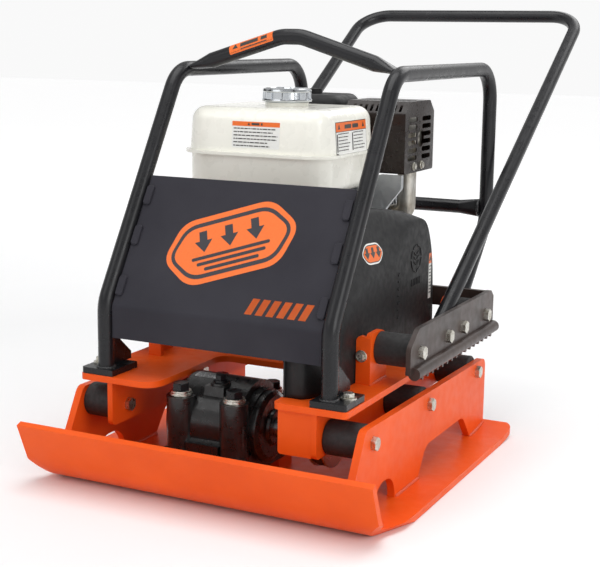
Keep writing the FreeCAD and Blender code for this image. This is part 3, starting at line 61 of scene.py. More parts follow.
class Finish:
    """A Principled material, with short calls for the nodes that feed it."""

    def __init__(self, name, roughness, metallic=0.0, coat=0.0, coat_roughness=0.1, gloss=0.5):
        self.material = bpy.data.materials.new(name)
        self.material.use_nodes = True
        self.tree = self.material.node_tree
        self.shader = self.tree.nodes["Principled BSDF"]
        self.shader.inputs["Roughness"].default_value = roughness
        self.shader.inputs["Metallic"].default_value = metallic
        self.shader.inputs["Specular IOR Level"].default_value = gloss
        self.shader.inputs["Coat Weight"].default_value = coat
        self.shader.inputs["Coat Roughness"].default_value = coat_roughness
        self.place = self.tree.nodes.new("ShaderNodeTexCoord").outputs["Object"]
        self.bumps = None

    def link(self, source, target):
        self.tree.links.new(source, target)

    def stretched(self, stretch):
        """The object coordinates, squeezed so that a pattern runs long in one direction."""
        mapping = self.tree.nodes.new("ShaderNodeMapping")
        mapping.inputs["Scale"].default_value = stretch
        self.link(self.place, mapping.inputs["Vector"])
        return mapping.outputs["Vector"]

    def noise(self, scale, detail=3.0, stretch=None, distortion=0.0):
        node = self.tree.nodes.new("ShaderNodeTexNoise")
        node.inputs["Scale"].default_value = scale
        node.inputs["Detail"].default_value = detail
        node.inputs["Distortion"].default_value = distortion
        self.link(self.stretched(stretch) if stretch else self.place, node.inputs["Vector"])
        return node.outputs["Fac"]

    def cells(self, scale, feature="F1"):
        node = self.tree.nodes.new("ShaderNodeTexVoronoi")
        node.feature = feature
        node.inputs["Scale"].default_value = scale
        self.link(self.place, node.inputs["Vector"])
        return node.outputs["Distance"]

    def spread(self, source, low, high, start=0.35, end=0.65):
        """The source's start to end, spread over low to high."""
        node = self.tree.nodes.new("ShaderNodeMapRange")
        self.link(source, node.inputs["Value"])
        node.inputs["From Min"].default_value = start
        node.inputs["From Max"].default_value = end
        node.inputs["To Min"].default_value = low
        node.inputs["To Max"].default_value = high
        return node.outputs["Result"]

    def between(self, factor, first, second):
        """A colour between two others, each a colour or an output."""
        node = self.tree.nodes.new("ShaderNodeMix")
        node.data_type = "RGBA"
        self.link(factor, node.inputs["Factor"])
        for value, name in ((first, "A"), (second, "B")):
            socket = [s for s in node.inputs if s.name == name and s.type == "RGBA"][0]
            if isinstance(value, tuple):
                socket.default_value = value
            else:
                self.link(value, socket)
        return [s for s in node.outputs if s.type == "RGBA"][0]

    def colour(self, source):
        self.link(source, self.shader.inputs["Base Color"])

    def rough(self, source, low, high):
        self.link(self.spread(source, low, high), self.shader.inputs["Roughness"])

    def bump(self, source, depth, strength=1.0):
        """Adds relief of that depth in metres to the relief added before."""
        node = self.tree.nodes.new("ShaderNodeBump")
        node.inputs["Distance"].default_value = depth
        node.inputs["Strength"].default_value = strength
        self.link(source, node.inputs["Height"])
        if self.bumps:
            self.link(self.bumps, node.inputs["Normal"])
        self.bumps = node.outputs["Normal"]
        self.link(self.bumps, self.shader.inputs["Normal"])


def powder_coat(name, light, dark, roughness, gloss, coat=0.06):
    """Baked powder paint: even colour with a faint cloudiness and orange-peel relief."""
    finish = Finish(name, roughness, coat=coat, coat_roughness=0.2, gloss=gloss)
    cloud = finish.noise(9, detail=5)
    finish.colour(finish.between(finish.spread(cloud, 0, 1), light, dark))
    finish.rough(finish.noise(60, detail=4), roughness - 0.05, roughness + 0.07)
    finish.bump(finish.noise(420, detail=2), 0.00003)
    return finish.material


def orange_paint():
    return powder_coat("orange_powder", srgb(238, 92, 26), srgb(229, 84, 20), 0.38, gloss=0.16, coat=0.03)


def tube_paint():
    return powder_coat("tube_powder", srgb(25, 25, 28), srgb(18, 18, 21), 0.30, gloss=0.3, coat=0.12)


def shield_paint():
    return powder_coat("shield_powder", srgb(54, 53, 59), srgb(48, 47, 53), 0.46, gloss=0.1, coat=0.0)


def bracket_paint():
    return powder_coat("bracket_powder", srgb(62, 48, 43), srgb(46, 37, 34), 0.40, gloss=0.4)


def cast_enamel():
    """Glossy black enamel over rough cast iron."""
    finish = Finish("cast_enamel", 0.32, coat=0.4, coat_roughness=0.12, gloss=0.4)
    finish.colour(finish.between(finish.noise(30, detail=5), srgb(14, 14, 15), srgb(30, 28, 28)))
    finish.rough(finish.noise(90, detail=4), 0.24, 0.45)
    finish.bump(finish.noise(140, detail=6), 0.0006)
    finish.bump(finish.cells(520), 0.00012)
    return finish.material


def zinc():
    """Zinc plate: bright, a little yellow, with the milky cloud of passivation."""
    finish = Finish("zinc_plate", 0.3, metallic=1.0)
    cloud = finish.noise(120, detail=5, distortion=0.6)
    finish.colour(finish.between(finish.spread(cloud, 0, 1), srgb(214, 212, 205), srgb(176, 171, 158)))
    finish.rough(finish.noise(260, detail=3), 0.24, 0.42)
    finish.bump(finish.noise(900, detail=2, stretch=(1, 1, 0.15)), 0.00002)
    return finish.material


def machined_steel():
    finish = Finish("machined_steel", 0.28, metallic=1.0)
    streaks = finish.noise(240, detail=4, stretch=(1, 0.08, 0.08))
    finish.colour(finish.between(streaks, srgb(150, 150, 152), srgb(196, 196, 198)))
    finish.rough(streaks, 0.22, 0.4)
    finish.bump(streaks, 0.00002)
    return finish.material


def moulded_rubber(name="moulded_rubber"):
    """Natural rubber with a dull bloom and mould-release mottling."""
    finish = Finish(name, 0.62)
    finish.colour(finish.between(finish.noise(70, detail=6), srgb(26, 26, 27), srgb(46, 45, 45)))
    finish.rough(finish.noise(160, detail=3), 0.52, 0.75)
    finish.bump(finish.noise(700, detail=3), 0.00006)
    return finish.material


def cast_aluminium():
    """Sand-blasted pressure casting."""
    finish = Finish("cast_aluminium", 0.46, metallic=0.9)
    finish.colour(finish.between(finish.noise(50, detail=6), srgb(168, 171, 174), srgb(205, 207, 208)))
    finish.rough(finish.noise(200, detail=3), 0.38, 0.58)
    finish.bump(finish.noise(260, detail=5), 0.00018)
    return finish.material


def exhaust_steel():
    """Aluminised steel, browned a little by heat."""
    finish = Finish("exhaust_steel", 0.4, metallic=0.95)
    finish.colour(finish.between(finish.spread(finish.noise(26, detail=6), 0, 1),
                                 srgb(196, 194, 188), srgb(150, 140, 124)))
    finish.rough(finish.noise(120, detail=4), 0.3, 0.55)
    finish.bump(finish.noise(420, detail=3), 0.00006)
    return finish.material


def tank_enamel():
    """Warm white gloss enamel on pressed steel."""
    finish = Finish("tank_enamel", 0.28, coat=0.6, coat_roughness=0.08)
    finish.colour(finish.between(finish.noise(7, detail=3), srgb(244, 243, 234), srgb(238, 236, 225)))
    finish.rough(finish.noise(45, detail=3), 0.24, 0.34)
    finish.bump(finish.noise(16, detail=2), 0.0006, 0.4)
    finish.bump(finish.noise(480, detail=2), 0.00002)
    return finish.material


def cap_chrome():
    finish = Finish("cap_chrome", 0.16, metallic=1.0)
    finish.colour(finish.between(finish.noise(60, detail=4), srgb(206, 209, 212), srgb(184, 188, 192)))
    finish.rough(finish.noise(150, detail=4), 0.1, 0.26)
    finish.bump(finish.noise(90, detail=3), 0.0001)
    return finish.material


def grained_plastic(name, light, dark, roughness=0.5, grain=0.00025):
    """Moulded plastic with an etched leather grain."""
    finish = Finish(name, roughness, gloss=0.3)
    finish.colour(finish.between(finish.noise(30, detail=5), light, dark))
    finish.rough(finish.noise(90, detail=3), roughness - 0.06, roughness + 0.1)
    finish.bump(finish.cells(620, "SMOOTH_F1"), grain)
    finish.bump(finish.noise(14, detail=2), 0.001, 0.25)
    return finish.material


def guard_enamel():
    """Glossy brown-black heatproof enamel."""
    finish = Finish("heatproof_enamel", 0.30, coat=0.12, coat_roughness=0.12, gloss=0.3)
    finish.colour(finish.between(finish.noise(22, detail=5), srgb(20, 12, 9), srgb(34, 21, 16)))
    finish.rough(finish.noise(80, detail=4), 0.2, 0.4)
    finish.bump(finish.noise(380, detail=3), 0.00005)
    return finish.material


def printed(name, light, dark, roughness=0.35):
    """Vinyl film printed in one colour, with the faint mottle of the ink."""
    finish = Finish(name, roughness, coat=0.1, coat_roughness=0.2, gloss=0.3)
    finish.colour(finish.between(finish.noise(260, detail=3), light, dark))
    finish.rough(finish.noise(120, detail=3), roughness - 0.05, roughness + 0.08)
    finish.bump(finish.noise(60, detail=2), 0.00004)
    return finish.material


def weld_metal(name, light, dark):
    """A painted weld: the coat over ripples and fine spatter."""
    finish = Finish(name, 0.38, coat=0.2, coat_roughness=0.25)
    finish.colour(finish.between(finish.noise(120, detail=4), light, dark))
    finish.rough(finish.noise(200, detail=3), 0.3, 0.5)
    finish.bump(finish.cells(330), 0.0004)
    return finish.material


def studio_floor():
    """Plain pale floor with a trace of unevenness, and painted light: it glows, more brightly the further it
    lies from the object.
    """
    finish = Finish("studio_floor", 0.75)
    finish.colour(finish.between(finish.noise(1.5, detail=4), srgb(246, 246, 246), srgb(242, 242, 243)))
    finish.bump(finish.noise(40, detail=4), 0.0001)
    distance = finish.tree.nodes.new("ShaderNodeVectorMath")
    distance.operation = "LENGTH"
    finish.link(finish.place, distance.inputs[0])
    # painted light: the floor glows white, with no glow within 1.2 m of its middle and rising to strength
    # 0.5 at 4 m
    finish.shader.inputs["Emission Color"].default_value = (1.0, 1.0, 1.0, 1.0)
    finish.link(finish.spread(distance.outputs["Value"], 0.0, 0.5, 1.2, 4.0),
                finish.shader.inputs["Emission Strength"])
    return finish.material


# ---------------------------------------------------------------- mesh helpers

def low(node):
    return Vector(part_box(node)[0])


def high(node):
    return Vector(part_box(node)[1])


def middle(node):
    return (low(node) + high(node)) / 2


def surface(*nodes):
    """CAD nodes as one surface that rays can be cast at, in the row frame."""
    points, faces = [], []
    for node in nodes:
        thing = NODES[node]
        first = len(points)
        points += [thing.matrix_world @ vertex.co for vertex in thing.data.vertices]
        faces += [[first + index for index in face.vertices] for face in thing.data.polygons]
    return BVHTree.FromPolygons(points, faces)


def outside(piece):
    """A finished piece as a surface that rays can be cast at, in the row frame."""
    points = [piece.matrix_world @ vertex.co for vertex in piece.data.vertices]
    return BVHTree.FromPolygons(points, [list(face.vertices) for face in piece.data.polygons])


def add_piece(name, build, materials, body, smooth=True):
    """A finished bmesh as an object that rides on a body."""
    mesh = bpy.data.meshes.new(name)
    bmesh.ops.recalc_face_normals(build, faces=build.faces)
    build.to_mesh(mesh)
    build.free()
    mesh.polygons.foreach_set("use_smooth", [smooth] * len(mesh.polygons))
    for material in materials:
        mesh.materials.append(material)
    thing = bpy.data.objects.new(name, mesh)
    bpy.context.scene.collection.objects.link(thing)
    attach(thing, body)
    return thing


def square_to(direction):
    """Two unit vectors square to a direction and to each other."""
    helper = UP if abs(direction.dot(UP)) < 0.9 else Vector((1, 0, 0))
    first = direction.cross(helper).normalized()
    return first, direction.cross(first).normalized()


def circle(centre, axis, radius, count):
    """Points evenly round a circle that is square to the axis."""
    first, second = square_to(axis)
    return [centre + radius * (first * math.cos(math.tau * step / count)
            + second * math.sin(math.tau * step / count)) for step in range(count)]


def loft(build, rings, closed=False):
    """Faces between rings of vertices, with capped ends unless the rings close on themselves."""
    made = [[build.verts.new(point) for point in ring] for ring in rings]
    pairs = list(zip(made, made[1:])) + ([(made[-1], made[0])] if closed else [])
    for ring, following in pairs:
        for index in range(len(ring)):
            after = (index + 1) % len(ring)
            build.faces.new((ring[index], ring[after], following[after], following[index]))
    if not closed:
        build.faces.new(list(reversed(made[0])))
        build.faces.new(made[-1])
    return made


def turned(build, centre, axis, profile, sides=48):
    """A solid turned about an axis from (distance along it, radius) pairs."""
    return loft(build, [circle(centre + axis * along, axis, radius, sides) for along, radius in profile])


def hex_head(build, centre, axis, flats, height):
    """A hexagon head with the turned chamfer that leaves arcs on its six corners."""
    first, second = square_to(axis)
    sides, inner, chamfer_slope = 72, flats / 2, 0.577
    chamfer_run = 0.93 * inner
    rings = []
    for share in (0.0, 0.35, 0.7, 1.0):
        ring = []
        for step in range(sides):
            angle = math.tau * step / sides
            corner = (angle + math.pi / 6) % (math.pi / 3) - math.pi / 6
            radius = inner / math.cos(corner)
            top = height - max(0.0, radius - chamfer_run) * chamfer_slope
            ring.append(centre + axis * (top * share)
                        + radius * (first * math.cos(angle) + second * math.sin(angle)))
        rings.append(ring)
    for radius, rise in ((chamfer_run, 0.0), (0.8 * chamfer_run, 0.0), (0.76 * chamfer_run, -0.0004)):
        rings.append(circle(centre + axis * (height + rise), axis, radius, sides))
    loft(build, rings)


def resampled(points, step, closed=False):
    """Points about one step apart along a route."""
    ends = points + [points[0]] if closed else points
    spread_out = []
    for start, end in zip(ends, ends[1:]):
        count = max(1, round((end - start).length / step))
        spread_out += [start.lerp(end, index / count) for index in range(count)]
    return spread_out if closed else spread_out + [ends[-1]]


def bead(build, route, radius, closed=False):
    """One weld bead: a rounded rope with the overlapping ripples of a hand-held torch."""
    ripple, step, sides = 0.0034, 0.00085, 8
    points = resampled(route, step, closed)
    if len(points) < 3:
        return
    rings, travelled = [], 0.0
    for index, point in enumerate(points):
        before = points[index - 1] if index or closed else point
        after = points[(index + 1) % len(points)] if index + 1 < len(points) or closed else point
        direction = (after - before).normalized()
        travelled += step
        scallop = 1 + 0.16 * abs(math.sin(math.pi * travelled / ripple))
        end_room = min(index, len(points) - 1 - index) / 3
        swell = radius * scallop * (1 if closed else min(1.0, 0.45 + 0.55 * end_room))
        rings.append(circle(point, direction, swell, sides))
    loft(build, rings, closed)


def weld(name, routes, radius, body, material, closed=False):
    build = bmesh.new()
    for route in routes:
        bead(build, route, radius, closed)
    return add_piece(name, build, [material], body)


def corner_routes(floor, wall, start, end, towards, reach=0.03):
    """Where a standing wall meets the plate under it, broken wherever the wall has a gap."""
    spacing, lift = 0.002, 0.003
    routes, route = [], []
    count = int((end - start).length / spacing)
    for index in range(count + 1):
        sample = start.lerp(end, index / count)
        top = floor.ray_cast(sample + UP * 0.15, -UP)[0]
        side = top and wall.ray_cast(Vector((sample.x, sample.y, top.z + lift)), towards, reach)[0]
        if side:
            route.append(Vector((side.x, side.y, top.z)))
        elif route:
            routes.append(route)
            route = []
    return [kept for kept in routes + [route] if len(kept) > 4]


# ---------------------------------------------------------------- printed film

def box_outline(left, bottom, right, top, corner=0.0, steps=5):
    """A rectangle's outline with round corners."""
    if not corner:
        return [(left, bottom), (right, bottom), (right, top), (left, top)]
    outline = []
    for x, y, turn in ((right - corner, bottom + corner, -90), (right - corner, top - corner, 0),
                       (left + corner, top - corner, 90), (left + corner, bottom + corner, 180)):
        for step in range(steps + 1):
            angle = math.radians(turn + 90 * step / steps)
            outline.append((x + corner * math.cos(angle), y + corner * math.sin(angle)))
    return outline


def small_print(left, right, top, rows, pitch, height, seed):
    """Rows of word-long bars that stand for small print and say nothing."""
    draw = random.Random(seed)
    words = []
    for row in range(rows):
        x = left
        line_end = right - draw.uniform(0, 0.25) * (right - left)
        while x < line_end:
            width = min(draw.uniform(1.2, 5.0) * height, line_end - x)
            words.append(box_outline(x, top - row * pitch - height, x + width, top - row * pitch))
            x += width + 0.8 * height
    return words


def film(name, target, start, direction, across, layers, body, grid=None, lean=0.0):
    """Printed film laid on a CAD surface where a ray meets it.

    A layer is (material, outlines), and each lies on the one before it."""
    thickness, spacing, stand_off, search = 0.00012, 0.0002, 0.00005, 0.03
    centre, normal = target.ray_cast(start, direction)[:2]
    if normal.dot(direction) > 0:
        normal = -normal
    across = (across - normal * across.dot(normal)).normalized()
    rise = normal.cross(across)
    if rise.dot(UP) < 0 and abs(rise.dot(UP)) > 0.1:
        rise = -rise
    across, rise = (across * math.cos(lean) + rise * math.sin(lean),
                    rise * math.cos(lean) - across * math.sin(lean))
    build = bmesh.new()
    for level, (_, outlines) in enumerate(layers):
        for outline in outlines:
            part = bmesh.new()
            part.faces.new([part.verts.new((x, y, 0)) for x, y in outline])
            if grid:
                for axis in (0, 1):
                    reach = [point[axis] for point in outline]
                    cut = (math.floor(min(reach) / grid) + 1) * grid
                    while cut < max(reach):
                        spot, facing = Vector((0, 0, 0)), Vector((0, 0, 0))
                        spot[axis], facing[axis] = cut, 1
                        bmesh.ops.bisect_plane(part, geom=part.verts[:] + part.edges[:] + part.faces[:],
                                               plane_co=spot, plane_no=facing)
                        cut += grid
            bmesh.ops.solidify(part, geom=part.faces[:], thickness=-thickness)
            for vertex in part.verts:
                flat = centre + across * vertex.co.x + rise * vertex.co.y
                found = target.ray_cast(flat + normal * search, -normal, 0.08)[0] or flat
                vertex.co = found + normal * (abs(vertex.co.z) + level * spacing + stand_off)
            mesh = bpy.data.meshes.new("layer")
            part.to_mesh(mesh)
            part.free()
            first = len(build.faces)
            build.from_mesh(mesh)
            build.faces.ensure_lookup_table()
            for face in build.faces[first:]:
                face.material_index = level
            bpy.data.meshes.remove(mesh)
    return add_piece(name, build, [layer[0] for layer in layers], body, smooth=False)


# ---------------------------------------------------------------- welds

def mirrored(points):
    return [Vector((-point.x, point.y, point.z)) for point in points]


def base_welds(material):
    """Fillets between the side plates, the exciter's bars and the base plate."""
    floor = surface("base_plate")
    routes = []
    for node, side in (("side_plate_right", 1), ("side_plate_left", -1)):
        wall = surface(node)
        lowest, highest = low(node), high(node)
        faces = sorted((lowest.x, highest.x), key=lambda x: side * x)
        for x, outward in ((faces[1], side), (faces[0], -side)):
            start = Vector((x + outward * WELD_CLEARANCE, lowest.y + 0.003, lowest.z))
            end = Vector((x + outward * WELD_CLEARANCE, highest.y - 0.003, lowest.z))
            routes += corner_routes(floor, wall, start, end, Vector((-outward, 0, 0)))
    bars = surface("exciter_mount_bars")
    lowest, highest = low("exciter_mount_bars"), high("exciter_mount_bars")
    for y, outward in ((lowest.y, -1), (highest.y, 1)):
        start = Vector((lowest.x + 0.002, y + outward * WELD_CLEARANCE, lowest.z))
        end = Vector((highest.x - 0.002, y + outward * WELD_CLEARANCE, lowest.z))
        routes += corner_routes(floor, bars, start, end, Vector((0, -outward, 0)))
    return weld("base_welds", routes, 0.0032, "base", material)


def deck_welds(material):
    """Fillets of the upright tabs and the two webs on the deck plate."""
    floor, tabs = surface("deck_plate"), surface("handle_tabs")
    lowest, highest = low("handle_tabs"), high("handle_tabs")
    routes = []
    start = Vector((highest.x + WELD_CLEARANCE, lowest.y, lowest.z))
    end = Vector((highest.x + WELD_CLEARANCE, highest.y, lowest.z))
    sided = corner_routes(floor, tabs, start, end, Vector((-1, 0, 0)))
    routes += sided + [mirrored(route) for route in sided]
    web_low, web_high = low("deck_web_right"), high("deck_web_right")
    for x in (web_low.x, web_high.x):
        run = [Vector((x, web_low.y + 0.01, web_high.z)), Vector((x, web_high.y - 0.02, web_high.z))]
        routes += [run, mirrored(run)]
    return weld("deck_welds", routes, 0.0030, "deck", material)


def cage_welds(material):
    """Rings where the tubes of the cage meet each other and their feet."""
    foot_top = low("hoop_right").z
    hoop_x = middle("hoop_right").x
    front_y = low("hoop_right").y + TUBE_RADIUS
    cross = middle("cage_crossbar")
    cross.x = high("cage_crossbar").x
    points_round = 40
    rings = [
        circle(Vector((hoop_x, front_y, foot_top)), UP, TUBE_RADIUS, points_round),
        circle(cross, Vector((1, 0, 0)), TUBE_RADIUS, points_round),
    ]
    rings += [mirrored(ring) for ring in rings]
    return weld("cage_welds", rings, 0.0028, "deck", material, closed=True)


def mount_welds(material):
    """Upright fillets between the handle mount's plates and its cross bar."""
    bar_low, bar_high = low("bracket_crossbar"), high("bracket_crossbar")
    routes = []
    for y in (bar_low.y, bar_high.y):
        run = [Vector((bar_high.x, y, bar_low.z)), Vector((bar_high.x, y, bar_high.z))]
        routes += [run, mirrored(run)]
    return weld("mount_welds", routes, 0.0026, "handle_mount", material)


# ---------------------------------------------------------------- shield: lugs and badge

def panel_point(panel, x, z):
    """The point on the front of the shield at that width and height, and its normal."""
    found, normal = panel.ray_cast(Vector((x, -1.0, z)), Vector((0, 1, 0)))[:2]
    return found, (normal if normal.y < 0 else -normal)


def shield_lugs(material):
    """Small rounded plates that tie the shield's edges to the cage tubes."""
    panel = surface("shield")
    length, width, gauge, corner = 0.034, 0.013, 0.004, 0.004
    edge = high("shield").x - width / 2
    build = bmesh.new()
    for z in (0.318, 0.392, 0.452):
        for side in (1, -1):
            point, normal = panel_point(panel, side * edge, z)
            across = Vector((1, 0, 0))
            rise = normal.cross(across).normalized()
            outline = box_outline(-width / 2, -length / 2, width / 2, length / 2, corner)
            rings = []
            for lift, shrink in ((0.0, 1.0), (gauge * 0.7, 1.0), (gauge, 0.9)):
                rings.append([point + across * (x * shrink) + rise * (y * shrink) + normal * lift
                              for x, y in outline])
            loft(build, rings)
    return add_piece("shield_lugs", build, [material], "deck", smooth=False)


def lozenge(width, height, nose, corner, steps=6):
    """A long six-sided badge with round corners: flat top and bottom, and blunt pointed ends."""
    tips = [(-width / 2, 0), (-width / 2 + nose, -height / 2), (width / 2 - nose, -height / 2),
            (width / 2, 0), (width / 2 - nose, height / 2), (-width / 2 + nose, height / 2)]
    outline = []
    for index, tip in enumerate(tips):
        here = Vector(tip)
        before = (Vector(tips[index - 1]) - here).normalized()
        after = (Vector(tips[(index + 1) % len(tips)]) - here).normalized()
        for step in range(steps + 1):
            share = step / steps
            first = here + before * corner * (1 - share)
            second = here + after * corner * share
            outline.append(tuple(first * (1 - share) + second * share))
    return outline


def arrow(x, y, width, height):
    """An arrow pointing down."""
    shaft, neck = 0.22 * width, 0.45 * height
    return [(x - shaft, y + height / 2), (x - shaft, y + height / 2 - neck),
            (x - width / 2, y + height / 2 - neck), (x, y - height / 2),
            (x + width / 2, y + height / 2 - neck), (x + shaft, y + height / 2 - neck),
            (x + shaft, y + height / 2)]


def shield_badge(orange, black):
    """A plain badge: a blow pressing down on layers of ground."""
    width, height, lean = 0.232, 0.112, math.radians(20)
    rim, gap, nose = 0.009, 0.007, 0.040
    inner = rim + gap
    layers = [
        (orange, [lozenge(width, height, nose, 0.022)]),
        (black, [lozenge(width - 2 * rim, height - 2 * rim, nose - 0.004, 0.020)]),
        (orange, [lozenge(width - 2 * inner, height - 2 * inner, nose - 0.008, 0.017)]),
        (black, [arrow(x, 0.014, 0.030, 0.036) for x in (-0.044, 0.0, 0.044)]
         + [box_outline(-half, y - 0.0028, half, y + 0.0028, 0.0026)
            for half, y in ((0.066, -0.013), (0.058, -0.023), (0.046, -0.033))]),
    ]
    return film("shield_badge", surface("shield"), Vector((-0.006, -1.0, 0.393)), Vector((0, 1, 0)),
                Vector((1, 0, 0)), layers, "deck", grid=0.008, lean=lean)


def shield_stripes(orange):
    """A short row of slanted stripes."""
    width, height, gap, slant = 0.012, 0.026, 0.006, 0.009
    stripes = []
    for index in range(6):
        x = -0.054 + index * (width + gap)
        stripes.append([(x, -height / 2), (x + width, -height / 2),
                        (x + width + slant, height / 2), (x + slant, height / 2)])
    return film("shield_stripes", surface("shield"), Vector((0.104, -1.0, 0.310)), Vector((0, 1, 0)),
                Vector((1, 0, 0)), [(orange, stripes)], "deck")


# ---------------------------------------------------------------- labels

def warning_triangle(x, y, side):
    return [(x - side / 2, y - side * 0.38), (x + side / 2, y - side * 0.38), (x, y + side * 0.5)]


def tank_label_front(white, orange, ink):
    """Warning label on the front of the tank: an orange heading over small print."""
    width, height, heading = 0.088, 0.043, 0.0075
    left, right, top = -width / 2, width / 2, height / 2
    layers = [
        (white, [box_outline(left, -top, right, top, 0.002)]),
        (orange, [box_outline(left, top - heading, right, top)]),
        (ink, small_print(left + 0.003, right - 0.003, top - heading - 0.003, 6, 0.0056, 0.0017, 3)
         + [warning_triangle(-0.013, top - heading / 2, 0.005)]
         + small_print(-0.008, 0.016, top - heading * 0.25, 1, 0.01, 0.0036, 5)),
    ]
    return film("tank_label_front", surface("fuel_tank"), Vector((-0.047, -0.5, 0.5465)),
                Vector((0, 1, 0)), Vector((1, 0, 0)), layers, "deck", grid=0.006)


def tank_label_side(white, orange, ink):
    """Large caution label on the right of the tank: heading, two columns and a frame."""
    width, height, heading, frame_width = 0.122, 0.054, 0.0145, 0.0012
    left, right, top = -width / 2, width / 2, height / 2
    inner_left, inner_right, inner_top = left + frame_width, right - frame_width, top - frame_width
    base = -inner_top
    words = []
    for column, start in enumerate((inner_left + 0.008, 0.008)):
        words += small_print(start, start + 0.046, inner_top - heading - 0.003, 6, 0.0054, 0.0016,
                             11 + column)
    layers = [
        (ink, [box_outline(left, -top, right, top, 0.002)]),
        (white, [box_outline(inner_left, base, inner_right, inner_top - heading - 0.001, 0.001)]),
        (orange, [box_outline(inner_left, inner_top - heading, inner_right, inner_top, 0.001)]),
        (ink, words + [warning_triangle(x, inner_top - heading / 2, 0.009) for x in (-0.048, 0.048)]
         + small_print(-0.026, 0.030, inner_top - heading * 0.28, 1, 0.01, 0.0066, 21)
         + [box_outline(x, base + 0.004, x + 0.0035, inner_top - heading - 0.004)
            for x in (inner_left + 0.002, 0.002)]),
    ]
    return film("tank_label_side", surface("fuel_tank"), Vector((0.6, 0.121, 0.5425)),
                Vector((-1, 0, 0)), Vector((0, 1, 0)), layers, "deck", grid=0.006)


def lifting_label(orange, ink):
    """Band of orange film on the left slope of the lifting bar."""
    width, height = 0.084, 0.020
    bar = surface("lifting_bar")
    y = middle("lifting_bar").y
    tops = [bar.ray_cast(Vector((x, y, 1.0)), -UP)[0] for x in (-0.100, -0.036)]
    along = (tops[1] - tops[0]).normalized()
    centre = (tops[0] + tops[1]) / 2 - UP * TUBE_RADIUS
    facing = along.cross(Vector((0, 1, 0))).normalized()
    facing = -facing if facing.z < 0 else facing
    outward = (facing * 0.55 - Vector((0, 0.83, 0))).normalized()
    layers = [
        (orange, [box_outline(-width / 2, -height / 2, width / 2, height / 2, 0.0015)]),
        (ink, [warning_triangle(-0.030, 0.0, 0.010)] + small_print(-0.020, 0.036, 0.0035, 1, 0.01, 0.007, 8)
         + [box_outline(-0.020, -0.0075, 0.030, -0.0062)]),
    ]
    return film("lifting_label", bar, centre + outward * 0.1, -outward, along, layers, "deck",
                grid=0.003)


def guard_stickers(guard, white, orange, ink):
    """A plain badge on the guard's sloping front, and a narrow label on its rear edge."""
    badge = [
        (white, [lozenge(0.078, 0.034, 0.018, 0.010)]),
        (ink, [lozenge(0.073, 0.029, 0.016, 0.009)]),
        (orange, [lozenge(0.070, 0.026, 0.015, 0.008)]),
        (ink, [arrow(x, 0.001, 0.018, 0.018) for x in (-0.020, 0.0, 0.020)]),
    ]
    centre = Vector((0.158, 0.014, 0.364))
    slope = Vector((0.80, -0.35, 0.48)).normalized()
    film("guard_badge", guard, centre + slope * 0.2, -slope, Vector((0.25, 0.97, 0)), badge, "deck",
         grid=0.004)
    width, height, heading = 0.012, 0.080, 0.018
    strip = [
        (white, [box_outline(-width / 2, -height / 2, width / 2, height / 2, 0.0015)]),
        (orange, [box_outline(-width / 2, height / 2 - heading, width / 2, height / 2)]),
        (ink, small_print(-width / 2 + 0.002, width / 2 - 0.001, height / 2 - heading - 0.004, 9, 0.0058,
                          0.0019, 31) + [warning_triangle(0, height / 2 - heading / 2, 0.011)]),
    ]
    outward = Vector((1, 0, 0))
    film("guard_strip", guard, Vector((0.170, 0.247, 0.297)) + outward * 0.2, -outward,
         Vector((0, 1, 0)), strip, "deck", grid=0.004)


# ---------------------------------------------------------------- fasteners and fittings

def exciter_bolts(head, washer):
    """Four long bolts: black heads on a thick and a thin zinc washer. The rear pair sits lower."""
    lowest, highest = low("exciter_bolts"), high("exciter_bolts")
    washer_radius, head_height, washers, shank_radius, flats = 0.018, 0.012, 0.008, 0.0079, 0.0245
    front_seat, rear_drop = highest.z - head_height - washers, 0.015
    build = bmesh.new()
    for x in (lowest.x + washer_radius, highest.x - washer_radius):
        for y, seat in ((lowest.y + washer_radius, front_seat),
                        (highest.y - washer_radius, front_seat - rear_drop)):
            foot = Vector((x, y, seat))
            first = len(build.faces)
            turned(build, Vector((x, y, lowest.z)), UP, ((0, shank_radius), (seat - lowest.z, shank_radius)))
            turned(build, foot, UP, ((0, 0.0170), (0.0006, 0.0178), (0.0044, 0.0178), (0.0050, 0.0172),
                                     (0.0050, 0.0158), (0.0054, 0.0164), (0.0076, 0.0164), (0.0080, 0.0160)))
            build.faces.ensure_lookup_table()
            for face in build.faces[first:]:
                face.material_index = 1
            hex_head(build, foot + UP * washers, UP, flats, head_height)
    piece = add_piece("exciter_bolt_set", build, [head, washer], "base", smooth=False)
    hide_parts("exciter_bolts")
    return piece


